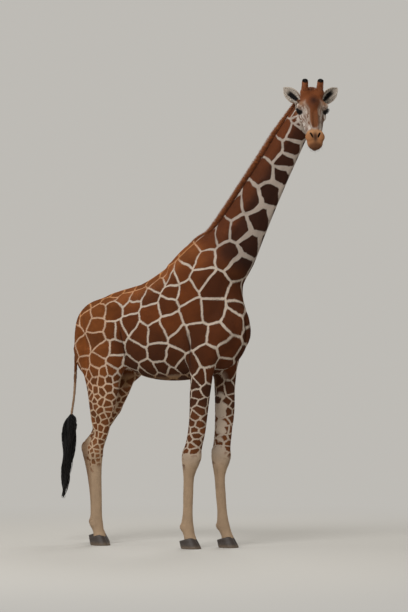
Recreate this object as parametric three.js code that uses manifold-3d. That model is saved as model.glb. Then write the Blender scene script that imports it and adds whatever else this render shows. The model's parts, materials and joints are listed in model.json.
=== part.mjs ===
// A reticulated giraffe, life size, standing still with its head turned to its right.
// The flesh is one form, made of lofted bars and muscle masses that melt into each other. It is then
// parted by thin cuts into trunk, neck, head, tail and legs. Ears, eyes, horns, mane and hooves are set in.
// Millimetres. X runs forward along the body, Y to the animal's left, Z up; the floor is Z = 0.
import * as THREE from "three";
import { mergeVertices } from "three/addons/utils/BufferGeometryUtils.js";
import Module from "manifold-3d";

const wasm = await Module();
wasm.setup();

// ---------------------------------------------------------------------------------------------
// Driving sizes
// ---------------------------------------------------------------------------------------------

const GAP = 0.4; // left between two pieces that touch
const LEG_CUT = 1500; // height where each leg parts from the trunk
const NECK_BASE = { x: 240, z: 2717 }; // foot of the neck's axis
const NECK_LEAN = 34; // degrees the neck's axis leans forward of upright
const NECK_CUT = -110; // place on the neck's axis where it parts from the trunk
const HEAD_CUT = 1465; // and where it parts from the head
const POLL = [1193, 0, 4232]; // the back of the skull, on the head's axis
const HEAD_TURN = -54; // degrees the head is turned, to the animal's right
const HEAD_DROP = 48; // degrees the muzzle points below level

const radians = THREE.MathUtils.degToRad;
const clamp = THREE.MathUtils.clamp;
const dot = (a, b) => a[0] * b[0] + a[1] * b[1] + a[2] * b[2];
const cross = (a, b) => [
  a[1] * b[2] - a[2] * b[1],
  a[2] * b[0] - a[0] * b[2],
  a[0] * b[1] - a[1] * b[0],
];
const minus = (a, b) => [a[0] - b[0], a[1] - b[1], a[2] - b[2]];
// from + a * u + b * v + c * w
function placed(from, a, u, b = 0, v = u, c = 0, w = u) {
  return from.map((x, i) => x + a * u[i] + b * v[i] + c * w[i]);
}

// Each frame is an origin with three directions: along the form, to its upper side, to its left.
const leftward = [0, 1, 0];
const trunkFrame = { origin: [0, 0, 0], along: [1, 0, 0], high: [0, 0, 1], wide: leftward };
const legFrame = { origin: [0, 0, 0], along: [0, 0, 1], high: [1, 0, 0], wide: leftward };
const lean = radians(NECK_LEAN);
const neckFrame = {
  origin: [NECK_BASE.x, 0, NECK_BASE.z],
  along: [Math.sin(lean), 0, Math.cos(lean)],
  high: [Math.cos(lean), 0, -Math.sin(lean)], // towards the throat
  wide: leftward,
};
const turn = radians(HEAD_TURN);
const drop = radians(HEAD_DROP);
const headFrame = {
  origin: POLL,
  along: [
    Math.cos(turn) * Math.cos(drop),
    Math.sin(turn) * Math.cos(drop),
    -Math.sin(drop),
  ],
  high: [Math.cos(turn) * Math.sin(drop), Math.sin(turn) * Math.sin(drop), Math.cos(drop)],
};
headFrame.wide = cross(headFrame.high, headFrame.along);
const inFrame = ({ origin, along, high, wide }, [t, a, b]) =>
  placed(origin, t, along, a, high, b, wide);

// ---------------------------------------------------------------------------------------------
// Forms: each is a function that gives how far a point is outside the form, below 0 inside it
// ---------------------------------------------------------------------------------------------

// Reads a table of stations anywhere along it, by a smooth curve through each column.
function reader(rows) {
  const last = rows.length - 1;
  const slopes = rows.map((row, i) => {
    const before = rows[Math.max(i - 1, 0)];
    const after = rows[Math.min(i + 1, last)];
    return row.map((_, k) => (after[k] - before[k]) / (after[0] - before[0]));
  });
  return (t) => {
    let i = 0;
    while (i < last - 1 && t > rows[i + 1][0]) i += 1;
    const span = rows[i + 1][0] - rows[i][0];
    const s = clamp((t - rows[i][0]) / span, 0, 1);
    const ease = s * s * (3 - 2 * s);
    const rise = s * (1 - s) * (1 - s) * span;
    const fall = s * s * (1 - s) * span;
    return rows[i].map(
      (from, k) =>
        from + (rows[i + 1][k] - from) * ease + slopes[i][k] * rise - slopes[i + 1][k] * fall,
    );
  };
}

// A bar: rounded sections along a frame. A row is [place, high, low, left, right], the section's limits.
// belt is how far up the section it is widest, and powers how square its upper and lower halves are.
function bar(frame, rows, belt, powers) {
  const read = reader(rows);
  const first = rows[0][0];
  const last = rows[rows.length - 1][0];
  const form = (p) => {
    const q = minus(p, frame.origin);
    const t = dot(q, frame.along);
    const at = clamp(t, first, last);
    const [, high, low, left, right] = read(at);
    const middle = low + belt * (high - low);
    const a = dot(q, frame.high) - middle;
    const b = dot(q, frame.wide) - (left + right) / 2;
    const ra = a > 0 ? high - middle : middle - low;
    const rb = (left - right) / 2;
    const n = powers[a > 0 ? 0 : 1];
    const share = (Math.abs(a / ra) ** n + Math.abs(b / rb) ** n) ** (1 / n);
    const out = (share - 1) * Math.min(ra, rb);
    return t === at ? out : Math.hypot(Math.max(out, 0), t - at);
  };
  form.centre = (t) => {
    const [, high, low, left, right] = read(t);
    return inFrame(frame, [t, low + belt * (high - low), (left + right) / 2]);
  };
  form.frame = frame;
  return form;
}

// A row with one half width, for a bar that is alike on both sides: [place, high, low, half].
const even = (rows) => rows.map(([t, high, low, half]) => [t, high, low, half, -half]);

// A mass of muscle, fat or bone: an egg of three radii in a frame, tipped by degrees in its long plane.
function mass(frame, middle, radii, tip = 0) {
  const c = Math.cos(radians(tip));
  const s = Math.sin(radians(tip));
  const centre = inFrame(frame, middle);
  return (p) => {
    const q = minus(p, centre);
    const t = dot(q, frame.along);
    const a = dot(q, frame.high);
    const local = [t * c + a * s, a * c - t * s, dot(q, frame.wide)];
    const k0 = Math.hypot(...local.map((x, i) => x / radii[i]));
    const k1 = Math.hypot(...local.map((x, i) => x / radii[i] ** 2));
    return k1 < 1e-9 ? -Math.min(...radii) : (k0 * (k0 - 1)) / k1;
  };
}

// Joins two forms with a rounded hollow of about that width where they meet.
function melt(a, b, width) {
  const h = Math.max(width - Math.abs(a - b), 0) / width;
  return Math.min(a, b) - (h * h * width) / 4;
}

// A pair of masses, one on each side of the middle plane, each with the width of its hollow.
function pair(frame, [t, a, b], radii, tip, width) {
  return [b, -b].map((side) => ({ form: mass(frame, [t, a, side], radii, tip), width }));
}

// ---------------------------------------------------------------------------------------------
// Trunk: a deep, narrow, sloping barrel, high at the withers. [x, back, belly, half width]
// ---------------------------------------------------------------------------------------------

const trunkBar = bar(
  trunkFrame,
  even([
    [-1335, 2110, 1980, 60],
    [-1275, 2200, 1915, 125],
    [-1180, 2300, 1850, 190],
    [-1050, 2395, 1790, 240],
    [-900, 2444, 1735, 262],
    [-750, 2480, 1668, 285],
    [-600, 2520, 1608, 305],
    [-450, 2585, 1580, 318],
    [-300, 2672, 1572, 318],
    [-150, 2805, 1578, 300],
    [0, 2890, 1600, 275],
    [150, 2850, 1640, 250],
    [300, 2660, 1725, 205],
    [400, 2400, 1850, 145],
    [460, 2200, 1965, 75],
  ]),
  0.42,
  [1.75, 2.2],
);

const trunkMasses = [
  { form: mass(trunkFrame, [265, 2060, 0], [235, 330, 185]), width: 100 }, // breast
  ...pair(trunkFrame, [325, 2040, 160], [115, 160, 85], 0, 70), // point of the shoulder
  ...pair(trunkFrame, [90, 2330, 180], [135, 430, 72], -28, 80), // shoulder blade
  ...pair(trunkFrame, [115, 1890, 200], [165, 210, 85], 20, 70), // upper arm
  ...pair(trunkFrame, [-870, 2290, 215], [95, 60, 55], 0, 70), // point of the hip
  ...pair(trunkFrame, [-1065, 2120, 125], [235, 225, 150], 0, 80), // rump
  ...pair(trunkFrame, [-1210, 1930, 130], [130, 280, 115], 0, 80), // buttock
  ...pair(trunkFrame, [-860, 1760, 190], [115, 170, 75], -12, 60), // stifle
];

// ---------------------------------------------------------------------------------------------
// Neck: long, deep at its foot and flat-sided above. [place, throat, nape, half width]
// ---------------------------------------------------------------------------------------------

const neckBar = bar(
  neckFrame,
  even([
    [-350, 300, -430, 235],
    [-200, 320, -395, 220],
    [-65, 302, -335, 195],
    [145, 300, -240, 155],
    [410, 252, -190, 130],
    [690, 200, -172, 112],
    [940, 164, -155, 101],
    [1170, 140, -148, 94],
    [1360, 123, -141, 90],
    [1500, 116, -132, 90],
    [1620, 108, -122, 88],
    [1710, 96, -108, 82],
    [1780, 66, -76, 62],
  ]),
  0.56,
  [2.1, 1.9],
);

// ---------------------------------------------------------------------------------------------
// Head: long and wedge-shaped, with jutting brows and a soft muzzle. [place, crown, jaw, half width]
// ---------------------------------------------------------------------------------------------

const headBar = bar(
  headFrame,
  even([
    [-45, 50, -50, 50],
    [0, 94, -105, 86],
    [60, 120, -150, 101],
    [120, 127, -164, 110],
    [180, 127, -158, 113],
    [240, 120, -144, 109],
    [300, 106, -126, 98],
    [360, 92, -109, 87],
    [420, 80, -97, 78],
    [480, 70, -89, 72],
    [540, 62, -86, 72],
    [590, 52, -85, 75],
    [630, 33, -83, 69],
    [660, 6, -74, 53],
    [676, -20, -60, 30],
  ]),
  0.5,
  [2.3, 2.0],
);

const headMasses = [
  ...pair(headFrame, [212, 46, 108], [64, 36, 44], 0, 30), // brow over each eye
  ...pair(headFrame, [250, -30, 106], [80, 30, 24], 12, 25), // cheekbone under each eye
  ...pair(headFrame, [165, -98, 60], [105, 62, 36], 0, 30), // jaw muscle
  { form: mass(headFrame, [235, 108, 0], [84, 36, 48]), width: 35 }, // middle horn boss
  ...pair(headFrame, [88, 104, 68], [50, 46, 44], 0, 35), // foot of each horn
  ...pair(headFrame, [592, 20, 50], [52, 32, 34], 0, 25), // wing of each nostril
  { form: mass(headFrame, [634, -24, 0], [48, 38, 66]), width: 30 }, // upper lip
  { form: mass(headFrame, [598, -80, 0], [54, 28, 46]), width: 20 }, // lower lip and chin
];
const eyeMiddle = [232, 10, 114];
const EYE_RADIUS = 25;

// ---------------------------------------------------------------------------------------------
// Legs: [height, front, back, inner side, outer side], for the right pair. The left pair is its
// mirror, swung so that its feet stand one step away.
// ---------------------------------------------------------------------------------------------

const foreRows = [
  [40, 58, -70, 112, 238],
  [100, 48, -70, 118, 232],
  [140, 34, -84, 122, 226],
  [200, 22, -112, 118, 228], // fetlock
  [260, 14, -102, 124, 220],
  [350, 10, -90, 130, 212],
  [500, 15, -87, 128, 212],
  [660, 24, -84, 122, 216],
  [740, 52, -90, 110, 228],
  [800, 84, -96, 101, 241],
  [860, 100, -100, 97, 247], // knee
  [920, 108, -86, 97, 245],
  [980, 120, -64, 98, 239],
  [1080, 146, -42, 98, 234],
  [1200, 166, -24, 97, 240],
  [1350, 188, -8, 95, 250],
  [1500, 214, 2, 95, 262],
  [1620, 238, 5, 98, 276],
  [1760, 268, -8, 104, 290],
  [1900, 290, -30, 110, 290],
];
const hindRows = [
  [40, -966, -1098, 110, 236],
  [100, -976, -1098, 116, 230],
  [140, -993, -1110, 122, 222],
  [200, -1004, -1136, 118, 224], // fetlock
  [280, -1014, -1126, 126, 214],
  [450, -1018, -1124, 128, 210],
  [640, -1022, -1132, 124, 212],
  [740, -1020, -1142, 118, 218],
  [800, -1016, -1152, 112, 224],
  [860, -1008, -1166, 107, 228],
  [925, -998, -1176, 104, 228], // point of the hock
  [980, -982, -1150, 102, 226],
  [1066, -948, -1110, 100, 228],
  [1200, -902, -1138, 94, 236],
  [1350, -860, -1162, 84, 246],
  [1500, -818, -1185, 72, 260],
  [1620, -795, -1215, 64, 274],
  [1750, -778, -1262, 58, 284],
  [1880, -780, -1290, 60, 284],
];
// How far the left leg stands ahead of the right, by height.
const foreStep = [[40, 205], [500, 150], [900, 110], [1500, 45], [1850, 0], [2000, 0]];
const hindStep = [
  [40, -235],
  [450, -250],
  [925, -290],
  [1066, -245],
  [1200, -180],
  [1350, -120],
  [1500, -80],
  [1650, -45],
  [1850, 0],
  [2000, 0],
];

function leg(rows, side, step) {
  const shift = step ? reader(step) : () => [0, 0];
  const swung = rows.map(([z, front, back, inner, outer]) => {
    const ahead = shift(z)[1];
    const [left, right] = side > 0 ? [outer, inner] : [-inner, -outer];
    return [z, front + ahead, back + ahead, left, right];
  });
  return bar(legFrame, swung, 0.5, [2.1, 2.1]);
}
const legs = {
  fore_leg_right: leg(foreRows, -1),
  fore_leg_left: leg(foreRows, 1, foreStep),
  hind_leg_right: leg(hindRows, -1),
  hind_leg_left: leg(hindRows, 1, hindStep),
};

// ---------------------------------------------------------------------------------------------
// The whole flesh
// ---------------------------------------------------------------------------------------------

function torso(p) {
  let d = trunkBar(p);
  for (const { form, width } of trunkMasses) {
    d = melt(d, form(p), width);
  }
  for (const form of Object.values(legs)) {
    d = melt(d, form(p), 60);
  }
  return melt(d, neckBar(p), 100);
}
function skull(p) {
  let d = headBar(p);
  for (const { form, width } of headMasses) {
    d = melt(d, form(p), width);
  }
  return d;
}
const flesh = (p) => melt(torso(p), skull(p), 50);

// ---------------------------------------------------------------------------------------------
// From forms to closed solids
// ---------------------------------------------------------------------------------------------

// A closed skin over rings of points: a band of quads between rings and a fan over each end.
function skinOver(rings) {
  const n = rings[0].length;
  const middle = (ring) => [0, 1, 2].map((k) => ring.reduce((sum, p) => sum + p[k], 0) / n);
  const points = [...rings.flat(), middle(rings[0]), middle(rings[rings.length - 1])];
  const faces = [];
  const [start, end] = [points.length - 2, points.length - 1];
  for (let j = 0; j < n; j += 1) {
    const k = (j + 1) % n;
    faces.push([start, k, j], [end, (rings.length - 1) * n + j, (rings.length - 1) * n + k]);
    for (let i = 0; i < rings.length - 1; i += 1) {
      faces.push([i * n + j, i * n + k, (i + 1) * n + k]);
      faces.push([i * n + j, (i + 1) * n + k, (i + 1) * n + j]);
    }
  }
  const geometry = new THREE.BufferGeometry();
  geometry.setAttribute("position", new THREE.Float32BufferAttribute(points.flat(), 3));
  geometry.setIndex(faces.flat());
  return geometry;
}

// A manifold solid from a geometry, turned right side out.
function solid(geometry) {
  const bare = geometry.clone();
  bare.deleteAttribute("normal");
  bare.deleteAttribute("uv");
  const merged = mergeVertices(bare, 1e-3);
  const vertProperties = merged.attributes.position.array;
  const triVerts = new Uint32Array(merged.index.array);
  const made = new wasm.Manifold(new wasm.Mesh({ numProp: 3, vertProperties, triVerts }));
  if (made.volume() > 0) return made;
  triVerts.reverse();
  return new wasm.Manifold(new wasm.Mesh({ numProp: 3, vertProperties, triVerts }));
}

// How far a ray runs from inside a form to its surface.
function reach(form, from, way) {
  const depth = (r) => form(placed(from, r, way));
  let inside = 0;
  let outside = 0;
  while (depth(outside) < 0) {
    inside = outside;
    outside += Math.max(6, -0.5 * depth(outside));
  }
  for (let i = 0; i < 14; i += 1) {
    const half = (inside + outside) / 2;
    if (depth(half) < 0) {
      inside = half;
    } else {
      outside = half;
    }
  }
  return outside;
}

// A tube over a form: rings of rays cast from a bar's centre line, in its frame, at the given places.
function tube(form, guide, places, sides) {
  const { high, wide } = guide.frame;
  return skinOver(
    places.map((t) => {
      const centre = guide.centre(t);
      return Array.from({ length: sides }, (_, j) => {
        const turned = (j / sides) * 2 * Math.PI;
        const way = placed([0, 0, 0], Math.cos(turned), high, Math.sin(turned), wide);
        return placed(centre, reach(form, centre, way), way);
      });
    }),
  );
}

// count + 1 places from a to b.
const spaced = (a, b, count) => Array.from({ length: count + 1 }, (_, i) => a + ((b - a) * i) / count);

// Keeps what is on the far side of a plane, less half a gap. The plane crosses a frame at a place.
function cutAt(shape, frame, place, keep) {
  const normal = frame.along.map((x) => x * keep);
  return shape.trimByPlane(normal, (dot(frame.origin, frame.along) + place) * keep + GAP / 2);
}

// A form ended a little past a plane, so that rays don't run on into the next part.
const OVERCUT = 45;
function endedPast(form, frame, place, keep) {
  return (p) => {
    const beyond = (place - dot(minus(p, frame.origin), frame.along)) * keep;
    return Math.max(form(p), beyond - OVERCUT);
  };
}

const solids = {};

// Trunk, ended at the foot of the neck and the top of each leg.
const trunkForm = endedPast(
  endedPast(torso, neckFrame, NECK_CUT, -1),
  legFrame,
  LEG_CUT,
  1,
);
const trunkPlaces = [
  -1352, -1340, -1312,
  ...spaced(-1275, -755, 8),
  ...spaced(-680, -150, 5),
  ...spaced(-70, 330, 6),
  ...spaced(380, 465, 2),
  ...spaced(487, 503, 2),
];
solids.trunk = solid(tube(trunkForm, trunkBar, trunkPlaces, 26));
for (const form of Object.values(legs)) {
  const top = solid(tube(form, form, spaced(LEG_CUT, 1700, 1), 12));
  solids.trunk = solids.trunk.add(top);
}
solids.trunk = cutAt(solids.trunk, neckFrame, NECK_CUT, -1);
solids.trunk = cutAt(solids.trunk, legFrame, LEG_CUT, 1);

// Neck, whose first and last rings are its flat ends.
const neckPlaces = [
  ...spaced(NECK_CUT + GAP / 2, 400, 5),
  ...spaced(510, HEAD_CUT - GAP / 2, 8),
];
solids.neck = solid(tube(torso, neckBar, neckPlaces, 20));

// Head, with the last stretch of the neck's column under it.
const headPlaces = [
  -62, -45, -15,
  ...spaced(20, 320, 10),
  ...spaced(365, 500, 3),
  ...spaced(535, 655, 5),
  ...spaced(670, 681, 1),
];
function headAndNape(grow) {
  const column = tube((p) => flesh(p) - grow, neckBar, spaced(HEAD_CUT, 1700, 3), 20);
  return solid(tube((p) => skull(p) - grow, headBar, headPlaces, 22)).add(solid(column));
}
solids.head = cutAt(headAndNape(0), neckFrame, HEAD_CUT, 1);

// Legs, down to the slanting coronet where each hoof begins.
const CORONET = { height: 92, slope: 14 };
const slope = radians(CORONET.slope);
const legPlaces = [
  ...spaced(50, 290, 5),
  ...spaced(430, 640, 1),
  ...spaced(710, 1100, 7),
  ...spaced(1220, LEG_CUT - GAP / 2, 2),
];
const footMiddle = {};
for (const [name, form] of Object.entries(legs)) {
  footMiddle[name] = form.centre(CORONET.height);
  const coronet = {
    origin: footMiddle[name],
    along: [-Math.sin(slope), 0, Math.cos(slope)],
  };
  solids[name] = cutAt(solid(tube(torso, form, legPlaces, 12)), coronet, 0, 1);
}

// ---------------------------------------------------------------------------------------------
// Hooves: two claws to each foot, with a straight inner wall and a sloping toe
// ---------------------------------------------------------------------------------------------

const HOOF = { length: 196, width: 158, cleft: 5, toeLean: 0.62, heelLean: 0.2, flare: 0.16 };

function claw(foot, side) {
  const steps = 7;
  const rings = spaced(0, CORONET.height + 40, 3).map((z) => {
    const toe = HOOF.length * 0.56 - z * HOOF.toeLean;
    const heel = -HOOF.length * 0.44 - z * HOOF.heelLean;
    const wide = (HOOF.width / 2) * (1 - (HOOF.flare * z) / CORONET.height);
    const middle = (toe + heel) / 2;
    const long = (toe - heel) / 2;
    const outer = Array.from({ length: steps + 1 }, (_, i) => {
      const a = (i / steps) * Math.PI;
      const bulge = Math.sin(a) ** 0.75;
      return [middle + long * Math.cos(a), HOOF.cleft / 2 + (wide - HOOF.cleft / 2) * bulge];
    });
    return outer.map(([x, y]) => [foot[0] + x, foot[1] + side * y, z]);
  });
  const coronet = { origin: foot, along: [-Math.sin(slope), 0, Math.cos(slope)] };
  return cutAt(solid(skinOver(rings)), coronet, 0, -1);
}
for (const [name, foot] of Object.entries(footMiddle)) {
  const outward = Math.sign(foot[1]);
  const hoof = name.replace("leg", "hoof");
  solids[`${hoof}_outer`] = claw(foot, outward);
  solids[`${hoof}_inner`] = claw(foot, -outward);
}

// ---------------------------------------------------------------------------------------------
// Tail: a thin stem that hangs from the rump, and a long switch of hair on its end
// ---------------------------------------------------------------------------------------------

// A round rope through points with a radius at each: [x, z, radius]. It lies in the middle plane.
function rope(rows, sides, count, grow = 0) {
  const curve = new THREE.CatmullRomCurve3(rows.map(([x, z]) => new THREE.Vector3(x, 0, z)));
  const radius = reader(rows.map((row, i) => [i, row[2]]));
  const rings = spaced(0, 1, count).map((s) => {
    const at = curve.getPoint(s);
    const along = curve.getTangent(s);
    const across = [-along.z, 0, along.x];
    const r = radius(s * (rows.length - 1))[1] + grow;
    return Array.from({ length: sides }, (_, j) => {
      const turned = (j / sides) * 2 * Math.PI;
      const from = [at.x, at.y, at.z];
      return placed(from, r * Math.cos(turned), across, r * Math.sin(turned), leftward);
    });
  });
  return solid(skinOver(rings));
}
const tailRows = [
  [-1280, 2150, 44],
  [-1350, 2128, 42],
  [-1400, 2060, 33],
  [-1420, 1940, 24],
  [-1428, 1780, 19],
  [-1436, 1600, 16],
  [-1450, 1420, 15],
  [-1482, 1240, 15],
];
const switchRows = [
  [-1481, 1250, 17],
  [-1488, 1205, 56],
  [-1497, 1130, 72],
  [-1508, 1020, 72],
  [-1520, 880, 64],
  [-1533, 760, 54],
  [-1546, 650, 40],
  [-1560, 550, 28],
  [-1572, 470, 17],
  [-1578, 425, 6],
];
const stem = (grow) => rope(tailRows, 8, 14, grow);
solids.tail = stem(0);
solids.trunk = solids.trunk.subtract(stem(2 * GAP).translate([GAP, 0, 0]));
solids.tail_switch = rope(switchRows, 12, 13).subtract(stem(GAP));

// ---------------------------------------------------------------------------------------------
// Mane: a short stiff brush down the nape, from between the horns to the withers
// ---------------------------------------------------------------------------------------------

const MANE = { from: -160, to: 1745, height: 66, foot: 44, tip: 18, sunk: 18 };

function mane(grow = 0) {
  const places = spaced(MANE.from - 2 * grow, MANE.to + 2 * grow, 20);
  const rings = places.map((t) => {
    const share = clamp((t - MANE.from) / (MANE.to - MANE.from), 0, 1);
    const grown = THREE.MathUtils.smoothstep(share, -0.03, 0.24);
    const rise = MANE.height * grown * Math.min(1, 0.45 + 2.2 * (1 - share));
    const centre = neckBar.centre(t);
    const nape = -reach(flesh, centre, neckFrame.high.map((x) => -x));
    const level = (a) => placed(centre, a, neckFrame.high);
    const foot = level(nape + MANE.sunk + grow);
    const crest = level(nape - rise - grow);
    const across = (from, half) => placed(from, half + grow, leftward);
    return [
      across(foot, -MANE.foot / 2 - 2 * grow),
      across(crest, -MANE.tip / 2 - 2 * grow),
      across(crest, MANE.tip / 2),
      across(foot, MANE.foot / 2),
    ];
  });
  return solid(skinOver(rings));
}
solids.mane = mane();
solids.neck = solids.neck.subtract(mane(GAP));
solids.trunk = solids.trunk.subtract(mane(GAP));
solids.head = solids.head.subtract(mane(GAP));

// ---------------------------------------------------------------------------------------------
// Horns, eyes and ears, each let into the head
// ---------------------------------------------------------------------------------------------

// A turned piece: a profile of [radius, height] stood at a place in the head, along a direction.
const unit = (a) => new THREE.Vector3(...a).normalize().toArray();
// A direction given along, up and out from the head's middle plane, on one side of it.
function inHead([t, a, b], side) {
  return placed([0, 0, 0], t, headFrame.along, a, headFrame.high, b * side, headFrame.wide);
}
function turned(profile, place, way, side, sides) {
  const geometry = new THREE.LatheGeometry(
    profile.map(([r, h]) => new THREE.Vector2(r, h)),
    sides,
  );
  const up = new THREE.Vector3(...unit(inHead(way, side)));
  geometry.applyQuaternion(new THREE.Quaternion().setFromUnitVectors(new THREE.Vector3(0, 1, 0), up));
  geometry.translate(...placed(POLL, 1, inHead(place, side)));
  return solid(geometry);
}

const HORN = { foot: [84, 108, 68], way: [-0.2, 1, 0.03], radius: 25, knob: 28, length: 130, sunk: 34 };
const hornProfile = (grow) => [
  [0, -HORN.sunk - grow],
  [HORN.radius + 7 + grow, -HORN.sunk - grow],
  [HORN.radius + 6 + grow, 12],
  [HORN.radius + 1 + grow, 50],
  [HORN.radius - 1 + grow, HORN.length * 0.6],
  [HORN.knob + grow, HORN.length * 0.82],
  [HORN.knob - 2 + grow, HORN.length * 0.93],
  [HORN.knob * 0.6 + grow, HORN.length],
  [0, HORN.length + 2 + grow],
];
const ball = (radius) =>
  Array.from({ length: 9 }, (_, i) => {
    const a = (i / 8) * Math.PI;
    return [i % 8 ? radius * Math.sin(a) : 0, -radius * Math.cos(a)];
  });

// An ear: a pointed leaf, rolled into a cup at its foot. [share of length, half width, depth of cup]
const EAR = { foot: [99, -20, 96], way: [-0.67, 0.26, 0.7], open: [0.62, 0.7, 0.3], length: 210, thick: 7 };
const earShape = reader([
  [0, 24, 26],
  [0.14, 37, 38],
  [0.34, 52, 36],
  [0.56, 55, 28],
  [0.76, 45, 18],
  [0.9, 26, 8],
  [1, 6, 2],
]);
function ear(side) {
  const along = unit(inHead(EAR.way, side));
  const across = unit(cross(along, inHead(EAR.open, side)));
  const open = cross(across, along); // the way the cup faces
  const foot = placed(POLL, 1, inHead(EAR.foot, side));
  const rings = spaced(0, 1, 8).map((s) => {
    const [, half, cup] = earShape(s);
    const at = placed(foot, EAR.length * s, along);
    const arc = spaced(-1, 1, 6);
    const thick = EAR.thick * (1 - 0.5 * s);
    const behind = arc.map((x) => placed(at, half * x, across, -cup * (1 - x * x), open));
    const within = arc
      .slice(1, -1)
      .reverse()
      .map((x) => placed(at, half * x * 0.94, across, (thick - cup) * (1 - x * x), open));
    return [...behind, ...within];
  });
  return solid(skinOver(rings));
}

// The ears stand on the head, so each is cut back to a shape that is just outside it.
const aroundHead = headAndNape(GAP);

for (const [name, side] of [["left", 1], ["right", -1]]) {
  const horn = (grow) => turned(hornProfile(grow), HORN.foot, HORN.way, side, 10);
  const eye = (grow) => turned(ball(EYE_RADIUS + grow), eyeMiddle, [0, 0, 1], side, 12);
  solids[`ossicone_${name}`] = horn(0);
  solids[`eye_${name}`] = eye(0);
  solids[`ear_${name}`] = ear(side).subtract(aroundHead);
  solids.head = solids.head.subtract(horn(GAP)).subtract(eye(GAP));
}

// ---------------------------------------------------------------------------------------------
// The model, centred over the floor
// ---------------------------------------------------------------------------------------------

const finish = (color, roughness) => new THREE.MeshStandardMaterial({ color, roughness, metalness: 0 });
const finishes = {
  coat: finish(0x8f4a28, 0.8),
  mane: finish(0x6b2f14, 0.85),
  hair: finish(0x14110f, 0.7),
  hoof: finish(0x3a3028, 0.55),
  eye: finish(0x120c08, 0.1),
};
function finishOf(name) {
  if (name.includes("hoof")) return finishes.hoof;
  if (name.startsWith("eye")) return finishes.eye;
  if (name === "mane") return finishes.mane;
  if (name === "tail_switch") return finishes.hair;
  return finishes.coat;
}

const giraffe = new THREE.Group();
for (const [name, shape] of Object.entries(solids)) {
  const { vertProperties, triVerts } = shape.getMesh();
  const geometry = new THREE.BufferGeometry();
  geometry.setAttribute("position", new THREE.BufferAttribute(vertProperties, 3));
  geometry.setIndex(new THREE.BufferAttribute(triVerts, 1));
  geometry.computeVertexNormals();
  const mesh = new THREE.Mesh(geometry, finishOf(name));
  mesh.name = name;
  giraffe.add(mesh);
}
const middle = new THREE.Box3().setFromObject(giraffe).getCenter(new THREE.Vector3());
giraffe.position.set(-middle.x, -middle.y, 0);

export default giraffe;
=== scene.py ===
import json
import math
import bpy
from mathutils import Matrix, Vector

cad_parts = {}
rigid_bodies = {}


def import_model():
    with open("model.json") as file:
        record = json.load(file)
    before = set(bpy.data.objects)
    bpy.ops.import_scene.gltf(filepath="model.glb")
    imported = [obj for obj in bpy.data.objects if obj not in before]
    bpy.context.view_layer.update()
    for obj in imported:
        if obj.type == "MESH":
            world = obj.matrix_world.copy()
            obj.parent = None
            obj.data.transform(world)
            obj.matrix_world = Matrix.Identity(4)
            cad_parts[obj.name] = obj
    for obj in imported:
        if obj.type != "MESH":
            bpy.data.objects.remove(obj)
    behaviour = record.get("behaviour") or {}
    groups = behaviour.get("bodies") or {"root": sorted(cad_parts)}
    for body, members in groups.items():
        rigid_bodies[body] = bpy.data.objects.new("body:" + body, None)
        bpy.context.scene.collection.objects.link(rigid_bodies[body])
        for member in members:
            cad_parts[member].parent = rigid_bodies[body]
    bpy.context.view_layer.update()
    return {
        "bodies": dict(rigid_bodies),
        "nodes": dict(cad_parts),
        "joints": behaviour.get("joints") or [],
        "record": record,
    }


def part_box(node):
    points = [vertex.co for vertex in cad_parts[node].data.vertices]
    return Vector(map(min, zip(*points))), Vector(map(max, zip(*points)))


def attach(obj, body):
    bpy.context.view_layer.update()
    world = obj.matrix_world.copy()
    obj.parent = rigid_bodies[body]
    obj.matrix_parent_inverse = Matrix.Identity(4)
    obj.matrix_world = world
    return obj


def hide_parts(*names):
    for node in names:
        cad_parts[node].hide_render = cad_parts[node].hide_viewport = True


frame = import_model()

from types import SimpleNamespace

import bmesh
import bpy
import numpy as np
from mathutils import Vector

# --- Camera -----------------------------------------------------------------------------------
# A long lens far off, held level at a standing viewer's height, sees the right side and breast.
VIEW_TURN = math.radians(32)
VIEW_DISTANCE = 30.0
VIEW_HEIGHT = 1.9
VIEW_ASIDE = 0.0827  # metres to the right of the line to the origin
VIEW_TALL = 5.774  # metres from top to bottom of the frame at the animal
VIEW_RAISED = 0.0663  # how far the lens is shifted up, as a share of the frame
SENSOR = 36.0

camera = bpy.data.objects.new("camera", bpy.data.cameras.new("camera"))
camera.data.sensor_fit = "VERTICAL"
camera.data.sensor_height = SENSOR
camera.data.lens = SENSOR * VIEW_DISTANCE / VIEW_TALL
camera.data.shift_y = VIEW_RAISED
camera.data.clip_end = 400
camera.location = (
    VIEW_ASIDE * math.cos(VIEW_TURN) + VIEW_DISTANCE * math.sin(VIEW_TURN),
    VIEW_ASIDE * math.sin(VIEW_TURN) - VIEW_DISTANCE * math.cos(VIEW_TURN),
    VIEW_HEIGHT,
)
camera.rotation_euler = (math.pi / 2, 0, VIEW_TURN)
bpy.context.scene.collection.objects.link(camera)
bpy.context.scene.camera = camera
bpy.context.scene.view_settings.view_transform = "Standard"

# --- The form under the skin ------------------------------------------------------------------
# Bone, muscle and fat, as bars of rounded sections and egg-shaped masses that melt into each
# other. Each form is a function of points that gives how far they are outside it. Millimetres.
NECK_LEAN = math.radians(34)
HEAD_TURN = math.radians(-54)
HEAD_DROP = math.radians(48)
EYE_MIDDLE = (232, 10, 114)
EYE_RADIUS = 25


def ease(x, low, high):
    """0 below low, 1 above high, with a smooth rise between."""
    s = np.clip((np.asarray(x, float) - low) / (high - low), 0, 1)
    return s * s * (3 - 2 * s)


class Frame:
    """An origin and three directions: along a form, to its upper side, and across it."""

    def __init__(self, origin, along, high, across=None):
        self.origin = np.array(origin, float)
        across = np.cross(high, along) if across is None else across
        self.axes = np.array([along, high, across], float)

    def local(self, points):
        """Points given as places along, up and across."""
        return (points - self.origin) @ self.axes.T

    def world(self, local):
        """The reverse of local."""
        return np.asarray(local, float) @ self.axes + self.origin


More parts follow.
